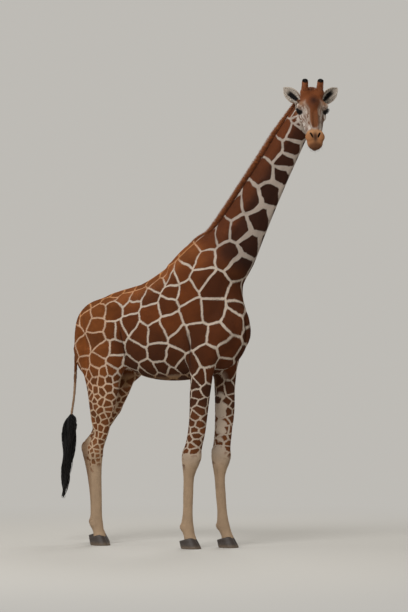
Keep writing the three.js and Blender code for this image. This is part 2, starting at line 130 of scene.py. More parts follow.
def unit(vectors):
    """The same vector, or row of vectors, each one long."""
    vectors = np.asarray(vectors, float)
    return vectors / np.linalg.norm(vectors, axis=-1, keepdims=True)


LEFT = (0, 1, 0)
trunk_frame = Frame((0, 0, 0), (1, 0, 0), (0, 0, 1))
leg_frame = Frame((0, 0, 0), (0, 0, 1), (1, 0, 0), LEFT)
neck_frame = Frame(
    (240, 0, 2717),
    (math.sin(NECK_LEAN), 0, math.cos(NECK_LEAN)),
    (math.cos(NECK_LEAN), 0, -math.sin(NECK_LEAN)),
    LEFT,
)
level = np.array([math.cos(HEAD_TURN), math.sin(HEAD_TURN), 0])
upright = np.array([0, 0, 1])
head_frame = Frame(
    (1193, 0, 4232),
    level * math.cos(HEAD_DROP) - upright * math.sin(HEAD_DROP),
    level * math.sin(HEAD_DROP) + upright * math.cos(HEAD_DROP),
)
SIDES = {"left": np.array([1, 1, 1]), "right": np.array([1, 1, -1])}  # these mirror a place
SKULL_MIDDLE = head_frame.world((250, 0, 0))


def from_skull(points):
    """How far points are from the middle of the skull."""
    return np.linalg.norm(points - SKULL_MIDDLE, axis=1)


def reader(rows):
    """A table of stations read at any place, by a smooth (Hermite) curve through each column.
    Past its ends it stays at the end rows."""
    rows = np.array(rows, float)
    place = rows[:, 0]
    before = rows[np.maximum(np.arange(len(rows)) - 1, 0)]
    after = rows[np.minimum(np.arange(len(rows)) + 1, len(rows) - 1)]
    slope = (after - before) / (after - before)[:, :1]
    fine = np.linspace(place[0], place[-1], 800)
    i = np.clip(np.searchsorted(place, fine, side="right") - 1, 0, len(rows) - 2)
    span = (place[i + 1] - place[i])[:, None]
    s = ((fine - place[i])[:, None]) / span
    smooth = s * s * (3 - 2 * s)
    curve = rows[i] + (rows[i + 1] - rows[i]) * smooth
    curve += slope[i] * s * (1 - s) ** 2 * span - slope[i + 1] * s**2 * (1 - s) * span
    return lambda t: [np.interp(t, fine, column) for column in curve.T[1:]]


def even(rows):
    """Rows of (place, high, low, half width) made (place, high, low, left, right)."""
    return [(t, high, low, half, -half) for t, high, low, half in rows]


def bar(frame, rows, belt, powers):
    """Rounded sections along a frame: |a / ra|^n + |b / rb|^n = 1, widest a share `belt` up."""
    read = reader(rows)
    first, last = rows[0][0], rows[-1][0]

    def form(points):
        t, high_at, wide_at = frame.local(points).T
        at = np.clip(t, first, last)
        high, low, left, right = read(at)
        middle = low + belt * (high - low)
        a = high_at - middle
        ra = np.where(a > 0, high - middle, middle - low)
        rb = (left - right) / 2
        n = np.where(a > 0, powers[0], powers[1])
        share = (np.abs(a / ra) ** n + np.abs((wide_at - (left + right) / 2) / rb) ** n) ** (1 / n)
        out = (share - 1) * np.minimum(ra, rb)
        return np.where(t == at, out, np.hypot(np.maximum(out, 0), t - at))

    def section(t):
        """Middle (high, wide) and radii (high, wide) at a place."""
        high, low, left, right = read(t)
        middle = low + belt * (high - low)
        return middle, (left + right) / 2, (high - low) / 2, (left - right) / 2

    form.read, form.section, form.frame = read, section, frame
    return form


def mass(frame, middle, radii, tip=0):
    """An egg of three radii in a frame, tipped by degrees in its long plane."""
    c, s = math.cos(math.radians(tip)), math.sin(math.radians(tip))
    centre = frame.world(middle)
    turned = np.array([[c, s, 0], [-s, c, 0], [0, 0, 1]]) @ frame.axes
    radii = np.array(radii, float)

    def form(points):
        local = (points - centre) @ turned.T
        k0 = np.linalg.norm(local / radii, axis=1)
        k1 = np.linalg.norm(local / radii**2, axis=1)
        return k0 * (k0 - 1) / np.maximum(k1, 1e-9)

    form.centre, form.reach = centre, radii.max()
    return form


def strip(frame, start, end, radius):
    """A straight rope between two places: how far a point is from the line, less the radius."""
    a, b = frame.world(start), frame.world(end)
    way = (b - a) / ((b - a) ** 2).sum()

    def form(points):
        share = np.clip((points - a) @ way, 0, 1)[:, None]
        return np.linalg.norm(points - a - (b - a) * share, axis=1) - radius

    form.centre, form.reach = (a + b) / 2, np.linalg.norm(b - a) / 2 + radius
    return form


def melt(a, b, width):
    """Joins two forms, with a rounded hollow of about that width where they meet."""
    h = np.maximum(width - np.abs(a - b), 0) / width
    return np.minimum(a, b) - h * h * width / 4


def carve(a, b, width):
    """Cuts form b out of form a, with a rounded rim."""
    return -melt(-a, b, width)


def both(work, frame, middle, radii, tip, width):
    """A mass on each side of the middle plane, each with the function that joins it to the rest
    and the width of that join."""
    t, a, b = middle
    return [(work, mass(frame, (t, a, side), radii, tip), width) for side in (b, -b)]


def joined(d, points, parts):
    """Adds or cuts each part in turn."""
    for work, form, width in parts:
        d = work(d, form(points), width)
    return d


trunk_bar = bar(
    trunk_frame,
    even([
        (-1335, 2110, 1980, 60), (-1275, 2200, 1915, 125), (-1180, 2300, 1850, 190),
        (-1050, 2395, 1790, 240), (-900, 2444, 1735, 262), (-750, 2480, 1668, 285),
        (-600, 2520, 1608, 305), (-450, 2585, 1580, 318), (-300, 2672, 1572, 318),
        (-150, 2805, 1578, 300), (0, 2890, 1600, 275), (150, 2850, 1640, 250),
        (300, 2660, 1725, 205), (400, 2400, 1850, 145), (460, 2200, 1965, 75),
    ]),
    0.42,
    (1.75, 2.2),
)
trunk_masses = [
    (melt, mass(trunk_frame, (265, 2060, 0), (235, 330, 185)), 100),  # breast
    *both(melt, trunk_frame, (325, 2040, 160), (115, 160, 85), 0, 70),  # point of the shoulder
    *both(melt, trunk_frame, (90, 2330, 180), (135, 430, 72), -28, 80),  # shoulder blade
    *both(melt, trunk_frame, (115, 1890, 200), (165, 210, 85), 20, 70),  # upper arm
    *both(melt, trunk_frame, (-870, 2290, 215), (95, 60, 55), 0, 70),  # point of the hip
    *both(melt, trunk_frame, (-1065, 2120, 125), (235, 225, 150), 0, 80),  # rump
    *both(melt, trunk_frame, (-1210, 1930, 130), (130, 280, 115), 0, 80),  # buttock
    *both(melt, trunk_frame, (-860, 1760, 190), (115, 170, 75), -12, 60),  # stifle
]
neck_bar = bar(
    neck_frame,
    even([
        (-350, 300, -430, 235), (-200, 320, -395, 220), (-65, 302, -335, 195),
        (145, 300, -240, 155), (410, 252, -190, 130), (690, 200, -172, 112),
        (940, 164, -155, 101), (1170, 140, -148, 94), (1360, 123, -141, 90),
        (1500, 116, -132, 90), (1620, 108, -122, 88), (1710, 96, -108, 82),
        (1780, 66, -76, 62),
    ]),
    0.56,
    (2.1, 1.9),
)
head_bar = bar(
    head_frame,
    even([
        (-45, 50, -50, 50), (0, 94, -105, 86), (60, 120, -150, 101), (120, 127, -164, 110),
        (180, 127, -158, 113), (240, 120, -144, 109), (300, 106, -126, 98),
        (360, 92, -109, 87), (420, 80, -97, 78), (480, 70, -89, 72), (540, 62, -86, 72),
        (590, 52, -85, 72), (630, 33, -83, 60), (660, 6, -74, 46), (676, -20, -60, 26),
    ]),
    0.5,
    (2.3, 2.0),
)
head_masses = [
    *both(melt, head_frame, (212, 44, 104), (62, 33, 39), 0, 30),  # brow over each eye
    *both(melt, head_frame, (250, -30, 106), (80, 30, 24), 12, 25),  # cheekbone under each eye
    *both(melt, head_frame, (172, -96, 60), (118, 60, 36), 3, 44),  # jaw muscle
    (melt, mass(head_frame, (235, 108, 0), (84, 36, 48)), 35),  # middle horn boss
    *both(melt, head_frame, (88, 104, 68), (50, 46, 44), 0, 35),  # foot of each horn
    *both(melt, head_frame, (584, 18, 55), (50, 32, 36), 0, 25),  # wing of each nostril
    (melt, mass(head_frame, (628, -24, 0), (52, 42, 66)), 34),  # upper lip
    (melt, mass(head_frame, (602, -80, 0), (58, 28, 38)), 20),  # lower lip and chin
]
FORE_ROWS = [  # height, front, back, inner side, outer side
    (40, 58, -70, 112, 238), (100, 48, -70, 118, 232), (140, 34, -84, 122, 226),
    (200, 22, -112, 118, 228), (260, 14, -102, 124, 220), (350, 10, -90, 130, 212),
    (500, 15, -87, 128, 212), (660, 24, -84, 122, 216), (740, 52, -90, 110, 228),
    (800, 84, -96, 101, 241), (860, 100, -100, 97, 247), (920, 108, -86, 97, 245),
    (980, 120, -64, 98, 239), (1080, 146, -42, 98, 234), (1200, 166, -24, 97, 240),
    (1350, 188, -8, 95, 250), (1500, 214, 2, 95, 262), (1620, 238, 5, 98, 276),
    (1760, 268, -8, 104, 290), (1900, 290, -30, 110, 290),
]
HIND_ROWS = [
    (40, -966, -1098, 110, 236), (100, -976, -1098, 116, 230), (140, -993, -1110, 122, 222),
    (200, -1004, -1136, 118, 224), (280, -1014, -1126, 126, 214), (450, -1018, -1124, 128, 210),
    (640, -1022, -1132, 124, 212), (740, -1020, -1142, 118, 218), (800, -1016, -1152, 112, 224),
    (860, -1008, -1166, 107, 228), (925, -998, -1176, 104, 228), (980, -982, -1150, 102, 226),
    (1066, -948, -1110, 100, 228), (1200, -902, -1138, 94, 236), (1350, -860, -1162, 84, 246),
    (1500, -818, -1185, 72, 260), (1620, -795, -1215, 64, 274), (1750, -778, -1262, 58, 284),
    (1880, -780, -1290, 60, 284),
]
# How far the left leg stands ahead of the right, by height.
FORE_STEP = [(40, 205), (500, 150), (900, 110), (1500, 45), (1850, 0), (2000, 0)]
HIND_STEP = [
    (40, -235), (450, -250), (925, -290), (1066, -245), (1200, -180), (1350, -120),
    (1500, -80), (1650, -45), (1850, 0), (2000, 0),
]


def leg(rows, side, step=None):
    """One leg. The left one is the right one mirrored and swung ahead by its step."""
    ahead = reader(step)([row[0] for row in rows])[0] if step else np.zeros(len(rows))
    swung = []
    for (z, front, back, inner, outer), shift in zip(rows, ahead):
        left, right = (outer, inner) if side > 0 else (-inner, -outer)
        swung.append((z, front + shift, back + shift, left, right))
    return bar(leg_frame, swung, 0.5, (2.1, 2.1))


legs = {
    "fore_leg_right": leg(FORE_ROWS, -1),
    "fore_leg_left": leg(FORE_ROWS, 1, FORE_STEP),
    "hind_leg_right": leg(HIND_ROWS, -1),
    "hind_leg_left": leg(HIND_ROWS, 1, HIND_STEP),
}
TAIL_ROWS = [  # x, z, radius
    (-1280, 2150, 44), (-1350, 2128, 42), (-1400, 2060, 33), (-1420, 1940, 24),
    (-1428, 1780, 19), (-1436, 1600, 16), (-1450, 1420, 15), (-1482, 1240, 15),
]


def strung(rows, count):
    """A smooth (Catmull-Rom) curve through rows of numbers, as count + 1 rows."""
    rows = np.array(rows, float)
    rows = np.vstack([2 * rows[0] - rows[1], rows, 2 * rows[-1] - rows[-2]])
    s = np.linspace(0, len(rows) - 3, count + 1)
    i = np.minimum(s.astype(int), len(rows) - 4)
    f = (s - i)[:, None]
    a, b, c, d = rows[i], rows[i + 1], rows[i + 2], rows[i + 3]
    return 0.5 * (2 * b + (c - a) * f + (2 * a - 5 * b + 4 * c - d) * f**2
                  + (3 * b - a - 3 * c + d) * f**3)


tail_curve = strung(TAIL_ROWS, 60)


def tail_form(points):
    """A rope: the distance to a curve less the radius there. Only worked out behind the rump."""
    out = np.full(len(points), 400.0)
    near = points[:, 0] < -1180
    away = points[near][:, None, :] - np.insert(tail_curve[:, :2], 1, 0, axis=1)[None]
    out[near] = (np.linalg.norm(away, axis=2) - tail_curve[:, 2]).min(1)
    return out


EAR = {
    "foot": (99, -20, 96), "way": (-0.67, 0.26, 0.7), "open": (0.62, 0.7, 0.3),
    "length": 210, "thick": 11,
}
ear_shape = reader([  # share of the length, half width, depth of the cup
    (0, 24, 26), (0.14, 37, 38), (0.34, 52, 36), (0.56, 55, 28), (0.76, 45, 18),
    (0.9, 26, 8), (1, 6, 2),
])
ears = {}
for side, mirror in SIDES.items():
    along = unit((EAR["way"] * mirror) @ head_frame.axes)
    across = unit(np.cross(along, (EAR["open"] * mirror) @ head_frame.axes))
    faces = np.cross(across, along)  # the way the cup opens
    ears[side] = Frame(head_frame.world(EAR["foot"] * mirror), along, across, faces)


def ear_form(ear, points):
    """A leaf rolled into a cup: a sheet that lies -cup (1 - x^2) behind its rim at a share x across."""
    a, b, c = ear.local(points).T
    at = np.clip(a, -20, EAR["length"])
    half, cup = ear_shape(np.clip(at / EAR["length"], 0, 1))
    x = np.clip(b / half, -1, 1)
    lean = np.hypot(1, 2 * cup * x / half)
    off_sheet = (c + cup * (1 - x * x) - 3) / lean
    return np.sqrt((a - at) ** 2 + (b - half * x) ** 2 + off_sheet**2) - EAR["thick"] / 2


def torso(points):
    """Trunk, legs and neck, without the skin's finer modelling."""
    d = joined(trunk_bar(points), points, trunk_masses)
    d = joined(d, points, [(melt, form, 60) for form in legs.values()])
    return melt(d, neck_bar(points), 100)


def skull(points):
    """Head without ears, eyes and lips' edges."""
    return joined(head_bar(points), points, head_masses)


def tendon(name):
    """The tendon that runs up from the point of the hock."""
    ends = []
    for height, ahead in ((980, -0.6), (1150, -0.8)):
        x, y, half_x, _ = legs[name].section(height)
        ends.append((height, x + ahead * half_x, y))
    return melt, strip(leg_frame, *ends, 11), 16


NECK_JOINTS = ((330, 134), (600, 115), (850, 103), (1090, 96), (1320, 91))  # place, half width
body_details = [
    *both(melt, trunk_frame, (72, 2330, 243), (20, 300, 16), -28, 26),  # spine of the blade
    *both(melt, trunk_frame, (45, 1795, 240), (55, 70, 46), 15, 40),  # elbow
    *both(melt, trunk_frame, (70, 1980, 240), (85, 150, 44), 25, 50),  # triceps
    *both(carve, trunk_frame, (40, 1880, 304), (18, 190, 42), -4, 30),  # crease behind the arm
    *both(carve, trunk_frame, (-722, 1905, 288), (18, 165, 50), 10, 30),  # fold of the flank
    *both(carve, trunk_frame, (-735, 2330, 318), (130, 90, 70), 0, 90),  # hollow before the hip
    *both(melt, trunk_frame, (-1010, 2010, 225), (120, 230, 50), 14, 60),  # thigh
    *both(carve, trunk_frame, (-1165, 1900, 262), (16, 210, 34), 8, 40),  # hamstring furrow
    *both(melt, trunk_frame, (-1292, 2120, 85), (38, 34, 30), 0, 30),  # seat bones
    (carve, mass(trunk_frame, (508, 1990, 0), (30, 170, 10)), 30),  # furrow of the breast
    *[(carve, strip(neck_frame, (160, 196, 150 * side), (1400, 74, 101 * side), 11), 34)
      for side in (1, -1)],  # jugular groove
    (melt, strip(neck_frame, (120, 258, 0), (1480, 84, 0), 34), 34),  # windpipe
    (melt, strip(neck_frame, (150, -206, 0), (1650, -100, 0), 22), 46),  # crest of the nape
    (melt, strip(trunk_frame, (-590, 2444, 0), (-310, 2620, 0), 56), 44),  # behind the withers
    *[(melt, mass(neck_frame, (t, 6, side * half), (62, 36, 12)), 34)
      for t, half in NECK_JOINTS for side in (1, -1)],
]
# How each is joined, its height, its shares of the half widths ahead and outwards, its radii and
# the width of the join.
LEG_DETAILS = {
    "fore": [
        (melt, 1340, 0.42, 0.5, (200, 44, 30), 34),  # extensor of the forearm
        (melt, 1390, -0.5, 0.3, (180, 34, 30), 30),  # flexor
        (melt, 872, 0.66, 0.0, (64, 34, 44), 20),  # knee cap
        *[(melt, 884, 0.05, out, (50, 44, 18), 18) for out in (0.82, -0.82)],  # sides of the knee
        (melt, 908, -0.8, 0.0, (36, 24, 24), 20),  # back of the knee
        (melt, 204, -0.55, 0.0, (34, 34, 40), 20),  # fetlock
        *[(carve, 500, -0.28, out, (230, 10, 13), 14) for out in (1.08, -1.08)],  # before the tendon
    ],
    "hind": [
        (melt, 1420, 0.1, 0.6, (170, 60, 30), 40),  # gaskin
        *[(carve, 1085, -0.42, out, (120, 24, 22), 26) for out in (1.05, -1.05)],  # before the tendon
        (melt, 932, -0.7, 0.0, (46, 24, 28), 20),  # point of the hock
        *[(melt, 872, 0.1, out, (62, 48, 18), 18) for out in (0.8, -0.8)],  # sides of the hock
        (melt, 204, -0.55, 0.0, (34, 34, 40), 20),  # fetlock
        *[(carve, 480, -0.2, out, (230, 10, 13), 14) for out in (1.08, -1.08)],  # before the tendon
    ],
}
for name, form in legs.items():
    details = []
    for work, height, ahead, out, radii, width in LEG_DETAILS[name[:4]]:
        x, y, half_x, half_y = form.section(height)
        middle = (height, x + ahead * half_x, y + out * half_y * math.copysign(1, y))
        details.append((work, mass(leg_frame, middle, radii), width))
    if name.startswith("hind"):
        details.insert(1, tendon(name))  # after the gaskin, before the hollows beside it
    body_details += details
head_details = [
    *both(melt, head_frame, (204, 54, 128), (22, 12, 21), -8, 18),  # point of the brow
    *both(melt, head_frame, (340, -24, 76), (100, 16, 16), -3, 40),  # ridge of the cheek
    *both(melt, head_frame, (400, 80, 27), (130, 14, 14), -7, 22),  # edge of the nose
    *both(carve, head_frame, (160, 26, 136), (38, 34, 24), 0, 26),  # temple
    *both(carve, head_frame, (300, 44, 114), (54, 28, 26), -6, 30),  # hollow before the eye
    *both(carve, head_frame, (268, 42, 134), (26, 30, 30), -6, 14),
    *both(carve, head_frame, (420, 6, 102), (80, 26, 18), -4, 30),  # hollow of the jowl
    *both(melt, head_frame, (250, -112, 52), (140, 22, 20), 6, 26),  # edge of the jaw
    *both(melt, head_frame, (596, 34, 44), (40, 20, 26), -16, 16),  # rim of the nostril
    (melt, mass(head_frame, (250, 126, 0), (46, 18, 26)), 24),  # knob of the middle horn
    *both(melt, head_frame, (566, 26, 50), (52, 15, 20), -14, 22),  # fold above the nostril
]


def worked(d, points, details):
    """Adds or cuts each finer mass where it reaches."""
    for work, form, width in details:
        near = ((points - form.centre) ** 2).sum(1) < (form.reach + width + 30) ** 2
        if near.any():
            d[near] = work(d[near], form(points[near]), width)
    return d


EYE_OUT = (0.36, 0.1, 1)  # the way each eye looks, along the head, up and across
EYE_TIP = math.radians(14)  # how far the corner towards the nose lies lower
NOSTRIL = {"middle": (588, 47, 35), "long": (47, -16, -20), "high": (20, 0, 47), "radii": (28, 7, 24)}
eye_frames = {}
nostril_forms = []
for side, mirror in SIDES.items():
    out = unit((EYE_OUT * mirror) @ head_frame.axes)
    long = np.array([math.cos(EYE_TIP), -math.sin(EYE_TIP), 0]) @ head_frame.axes
    long = unit(long - out * (long @ out))
    up = np.cross(long, out) * mirror[2]
    eye_frames[side] = Frame(head_frame.world(EYE_MIDDLE * mirror), long, up, out)
    slit = Frame(
        head_frame.world(NOSTRIL["middle"] * mirror),
        unit((NOSTRIL["long"] * mirror) @ head_frame.axes),
        unit((NOSTRIL["high"] * mirror) @ head_frame.axes),
    )
    nostril_forms.append(mass(slit, (0, 0, 0), NOSTRIL["radii"]))
OPENING = (26.0, 16.5)  # half the length and half the height of the opening between the lids
LID_ROUND = (OPENING[0] ** 2 + OPENING[1] ** 2) / (2 * OPENING[1])  # radius of each lid's edge
LID = 4.5


def almond(x, y):
    """How far a place before the eye is outside the opening, where two cylinders cross."""
    above = np.hypot(x, y - LID_ROUND + OPENING[1])
    below = np.hypot(x, y + LID_ROUND - OPENING[1])
    return np.maximum(above, below) - LID_ROUND


def lids(d, points):
    """Lids drawn over each eyeball: a thicker ball, cut by the ball and by the almond opening."""
    for eye in eye_frames.values():
        near = ((points - eye.origin) ** 2).sum(1) < 70**2
        if not near.any():
            continue
        x, y, out = eye.local(points[near]).T
        ball = np.sqrt(x * x + y * y + out * out)
        lid = melt(d[near], ball - EYE_RADIUS - LID - 1.5 * ease(y, 0, 20), 13)
        lid = carve(lid, np.maximum(almond(x, y), 6 - out), 3)
        d[near] = np.maximum(lid, EYE_RADIUS + 0.4 - ball)
    return d


def mouth(d, points):
    """The crease between the lips: 3 mm wide, up to 9 mm deep, shallower towards its corner."""
    t, u, _ = head_frame.local(points).T
    line = np.interp(t, [470, 520, 600, 690], [-46, -57, -63, -66])
    deep = 9 * ease(t, 468, 560)
    return carve(d, np.maximum(np.abs(u - line) - 1.5, -d - deep), 7)


HEAD_REACH = 520


def coat_depth(points):
    """How deep the skin lies under the tips of the coat: 6 mm on the body, 3 mm on the head, the
    tail and the feet."""
    thin = np.clip((from_skull(points) - 400) / 300, 0, 1) * np.clip((points[:, 2] - 500) / 500, 0, 1)
    thin = thin * np.clip((points[:, 0] + 1400) / 60, 0, 1)
    return 3 + 3 * thin


def flesh(points):
    """The whole skin's form: below 0 inside the skin."""
    d = torso(points)
    d = melt(d, tail_form(points), 30)
    d = worked(d, points, body_details)
    near = from_skull(points) < HEAD_REACH
    close = points[near]
    if near.any():
        d[near] = melt(d[near], worked(skull(close), close, head_details), 50)
    d = d + coat_depth(points)
    if near.any():
        head = d[near]
        for ear in ears.values():
            head = melt(head, ear_form(ear, close), 16)
        for slit in nostril_forms:
            head = carve(head, slit(close), 6)
        d[near] = lids(mouth(head, close), close)
    return d


# --- Skin -------------------------------------------------------------------------------------
# One hide from lips to tail and down to the hooves, drawn tight over the form, with no seam.
# It is found as the surface where the form is 0, on a coarse lattice for the body and a fine
# one, lined up with the skull, for the head. The two are joined round the neck.
SKIP = 4  # a form is first read at every fourth place of a lattice
BATCH = 200000  # how many places are read at once


def ruled(low, high, spacing):
    """SKIP k + 1 places from low to high, as far apart as spacing(place) says."""
    fine = np.linspace(low, high, 2000)
    steps = np.concatenate([[0], np.cumsum(np.diff(fine) / spacing((fine[1:] + fine[:-1]) / 2))])
    count = int(math.ceil(steps[-1] / SKIP)) * SKIP
    return np.interp(np.linspace(0, steps[-1], count + 1), steps, fine)


def surface(form, to_points, axes, band):
    """Vertices and quads of the surface where a form is 0, on a lattice (surface nets).
    The form is first read at every fourth place, then fully only within `band` of the surface.
    Each cell that the surface crosses gets a vertex at the mean of the crossings of its edges,
    and each lattice edge that it crosses gets a quad of the four cells round it."""
    corners = np.array(list(np.ndindex(2, 2, 2)))

    def lattice(index):
        """Where places of the lattice lie, from their numbers along each axis."""
        return np.stack([axis[i] for axis, i in zip(axes, index.T)], axis=1)

    def read(index):
        parts = [index[start:start + BATCH] for start in range(0, len(index), BATCH)]
        return np.concatenate([form(to_points(lattice(part))) for part in parts])

    def at_corners(values):
        """The values at each of the eight corners of every cell."""
        size = values.shape
        return [values[tuple(slice(c, n - 1 + c) for c, n in zip(corner, size))] for corner in corners]

    def spread(cells):
        return cells.repeat(SKIP, 0).repeat(SKIP, 1).repeat(SKIP, 2)

    shape = tuple(len(axis) for axis in axes)
    rough_shape = tuple((n - 1) // SKIP + 1 for n in shape)
    rough = read(np.indices(rough_shape).reshape(3, -1).T * SKIP).reshape(rough_shape)
    close = np.min(np.abs(at_corners(rough)), axis=0) < band
    # The band is widened by one rough cell each way.
    for axis in range(3):
        close = np.roll(close, 1, axis) | np.roll(close, -1, axis) | close
    fine = np.zeros(shape, bool)
    fine[:-1, :-1, :-1] = spread(close)
    values = np.full(shape, 1000.0)
    values[:-1, :-1, :-1] = spread(rough[:-1, :-1, :-1])
    values[fine] = read(np.argwhere(fine))

    inside = values < 0
    count = sum(corner.astype(np.int8) for corner in at_corners(inside))
    cells = np.argwhere((count > 0) & (count < 8))
    number = np.full(count.shape, -1)
    number[tuple(cells.T)] = np.arange(len(cells))
    total = np.zeros((len(cells), 3))
    crossings = np.zeros(len(cells))
    for a, b in [(a, b) for a in corners for b in corners if (b >= a).all() and (b - a).sum() == 1]:
        value_a, value_b = values[tuple((cells + a).T)], values[tuple((cells + b).T)]
        cross = (value_a < 0) != (value_b < 0)
        share = (value_a / np.where(cross, value_a - value_b, 1))[:, None]
        place_a, place_b = lattice(cells + a), lattice(cells + b)
        total += np.where(cross[:, None], place_a + (place_b - place_a) * share, 0)
        crossings += cross
    quads = []
    for axis in range(3):
        u, v = (axis + 1) % 3, (axis + 2) % 3
        edges = np.argwhere(np.diff(inside, axis=axis))
        kept = [(edges[:, k] > 0) & (edges[:, k] < shape[k] - 1) for k in (u, v)]
        edges = edges[kept[0] & kept[1]]
        ring = []
        for du, dv in ((1, 1), (0, 1), (0, 0), (1, 0)):
            cell = edges.copy()
            cell[:, u] -= du
            cell[:, v] -= dv
            ring.append(number[tuple(cell.T)])
        ring = np.stack(ring, axis=1)
        # The quad faces along the axis where the lattice edge leaves the form.
        leaves = inside[tuple(edges.T)][:, None]
        quads.append(np.where(leaves, ring, ring[:, ::-1]))
    return to_points(total / crossings[:, None]), np.concatenate(quads)


def about(x, middle, reach):
    """1 near a place and 0 beyond its reach, with soft shoulders."""
    return np.exp(-(((x - middle) / reach) ** 4))


SEAM = -186  # where the fine lattice ends, on the head's own upward axis
body_axes = [
    ruled(-1560, 1470, lambda x: 16.7 - 9.6 * about(x, -1440, 42)),  # finer at the tail
    ruled(-380, 380, lambda y: 16.0 - 8.6 * about(y, 0, 20)),
    ruled(-10, 4330, lambda z: 16.7 + 0 * z),
]
head_axes = [  # finer at the eyes, the nostrils and the lips
    ruled(-95, 705, lambda t: 5.5 - 2.4 * about(t, 236, 42) - 1.4 * about(t, 615, 60)),
    ruled(SEAM, 190, lambda u: 5.4 - 2.2 * about(u, 8, 32)),
    ruled(-300, 300, lambda v: 5.5 - 2.2 * about(np.abs(v), 122, 26) - 0.7 * ease(np.abs(v), 140, 160)),
]
body_points, body_quads = surface(flesh, lambda p: p, body_axes, 75)
head_points, head_quads = surface(flesh, head_frame.world, head_axes, 28)
head_quads = head_quads[:, ::-1]  # the head's axes are left-handed

# The body's surface is cut straight across just under the seam, and the head's is zipped to it.
work = bmesh.new()
body_vertices = [work.verts.new(p) for p in body_points]
for quad in body_quads:
    work.faces.new([body_vertices[i] for i in quad])
bmesh.ops.bisect_plane(
    work, geom=work.verts[:] + work.edges[:] + work.faces[:], dist=0.01,
    plane_co=head_frame.world((0, SEAM - 4, 0)), plane_no=head_frame.axes[1], clear_outer=True,
)
bmesh.ops.triangulate(work, faces=[f for f in work.faces if len(f.verts) > 4])
work.verts.index_update()
body_points = np.array([v.co for v in work.verts])
body_faces = [[v.index for v in f.verts] for f in work.faces]
body_quads, body_triangles = (np.array([f for f in body_faces if len(f) == n]) for n in (4, 3))
work.free()


def rim_of(at, *groups):
    """The vertices round the one hole of a mesh, where an edge has only one face, in the order of
    their angles round it, and those angles. They are seen along the seam's own axis."""
    edges = [np.stack([faces, np.roll(faces, -1, 1)], 2).reshape(-1, 2) for faces in groups]
    edges, uses = np.unique(np.sort(np.concatenate(edges), 1), axis=0, return_counts=True)
    rim = np.unique(edges[uses == 1])
    local = head_frame.local(at[rim])
    local = local - (local.max(0) + local.min(0)) / 2
    angle = np.arctan2(local[:, 2], local[:, 0])
    return rim[np.argsort(angle)], np.sort(angle)


def middles(angles):
    """The angles halfway between each one and the next."""
    return (angles + np.append(angles[1:], angles[0] + 2 * math.pi)) / 2


body_rim, body_angle = rim_of(body_points, body_quads, body_triangles)
head_rim, head_angle = rim_of(head_points, head_quads)
base = len(body_points)
head_rim = head_rim + base
across_to_head = np.searchsorted(middles(head_angle), middles(body_angle))
across_to_body = np.searchsorted(middles(body_angle), middles(head_angle))
points = np.concatenate([body_points, head_points])
quads = np.concatenate([body_quads, head_quads + base])
triangles = np.concatenate([
    body_triangles,
    np.stack([body_rim, np.roll(body_rim, -1), np.take(head_rim, across_to_head, mode="wrap")], 1),
    np.stack([np.roll(head_rim, -1), head_rim, np.take(body_rim, across_to_body, mode="wrap")], 1),
])


def gradient(form, at, step=0.4):
    """How fast a form grows along each axis."""
    moves = np.eye(3) * step
    return np.stack([(form(at + move) - form(at - move)) / (2 * step) for move in moves], axis=1)


# Two steps down the form's slope, of at most 6 mm along each axis, bring every vertex onto it.
for _ in range(2):
    slope = gradient(flesh, points)
    move = flesh(points)[:, None] * slope / (slope**2).sum(1)[:, None].clip(0.25)
    points = points - move.clip(-6, 6)


# --- Markings ---------------------------------------------------------------------------------
# The coat's network of pale lines between dark patches. Each patch grows from a seed on the skin,
# and a line runs where two patches meet. Patches are large on flank and neck, smaller along the
# back and small on the legs, where they fade out.
def blend(a, b, share):
    """From a to b by a share. a is a number, a colour or a direction at each point."""
    if a.ndim == 2:
        share = np.asarray(share)[:, None]
    return a + (b - a) * share


def linear(colour):
    """An sRGB hex colour as linear light."""
    c = np.array([int(colour[i:i + 2], 16) for i in (1, 3, 5)]) / 255
    return np.where(c <= 0.04045, c / 12.92, ((c + 0.055) / 1.055) ** 2.4)


def layered(count, first, *layers):
    """Starts from one number, colour or direction at each of count points and goes to others in
    turn, each by its share at each point."""

    def value(given):
        return linear(given) if isinstance(given, str) else np.asarray(given, float)

    now = np.repeat(value(first)[None], count, axis=0)
    for given, share in layers:
        now = blend(now, value(given), share)
    return now


LEG_REACH = (60, 1900)  # the heights between which a leg's section is read


def places(at):
    """Where points lie: in the trunk's, neck's and head's own frames, and the measures that
    markings and hair follow. Neck and head are shares, 1 on each and 0 off it."""
    x, y, z = at.T
    up_neck, throat, _ = neck_frame.local(at).T
    along_head, up_head, across_head = head_frame.local(at).T
    off_head = np.hypot(np.minimum(up_head + 20, 0), across_head * 0.8)
    neck_middle = neck_bar.section(up_neck)[0]
    behind = np.zeros(len(at))  # how far behind the middle of a leg, in half widths
    for form in legs.values():
        leg_x, leg_y, half_x, _ = form.section(z.clip(*LEG_REACH))
        near = (np.sign(leg_y) == np.sign(y)) & (np.abs(x - leg_x) < 300)
        behind = np.where(near, (leg_x - x) / half_x, behind)
    return SimpleNamespace(
        count=len(at), x=x, y=y, z=z, side=np.abs(y), fore=x > -350, behind=behind,
        under_back=trunk_bar.read(x)[0] - z,
        up_neck=up_neck, throat=throat, neck=ease(up_neck, -60, 160),
        throat_angle=np.degrees(np.arctan2(np.abs(y) * 1.5, throat - neck_middle)),
        along_head=along_head, up_head=up_head, across_head=across_head,
        head=ease(off_head, 185, 135) * ease(along_head, -90, 0),
    )


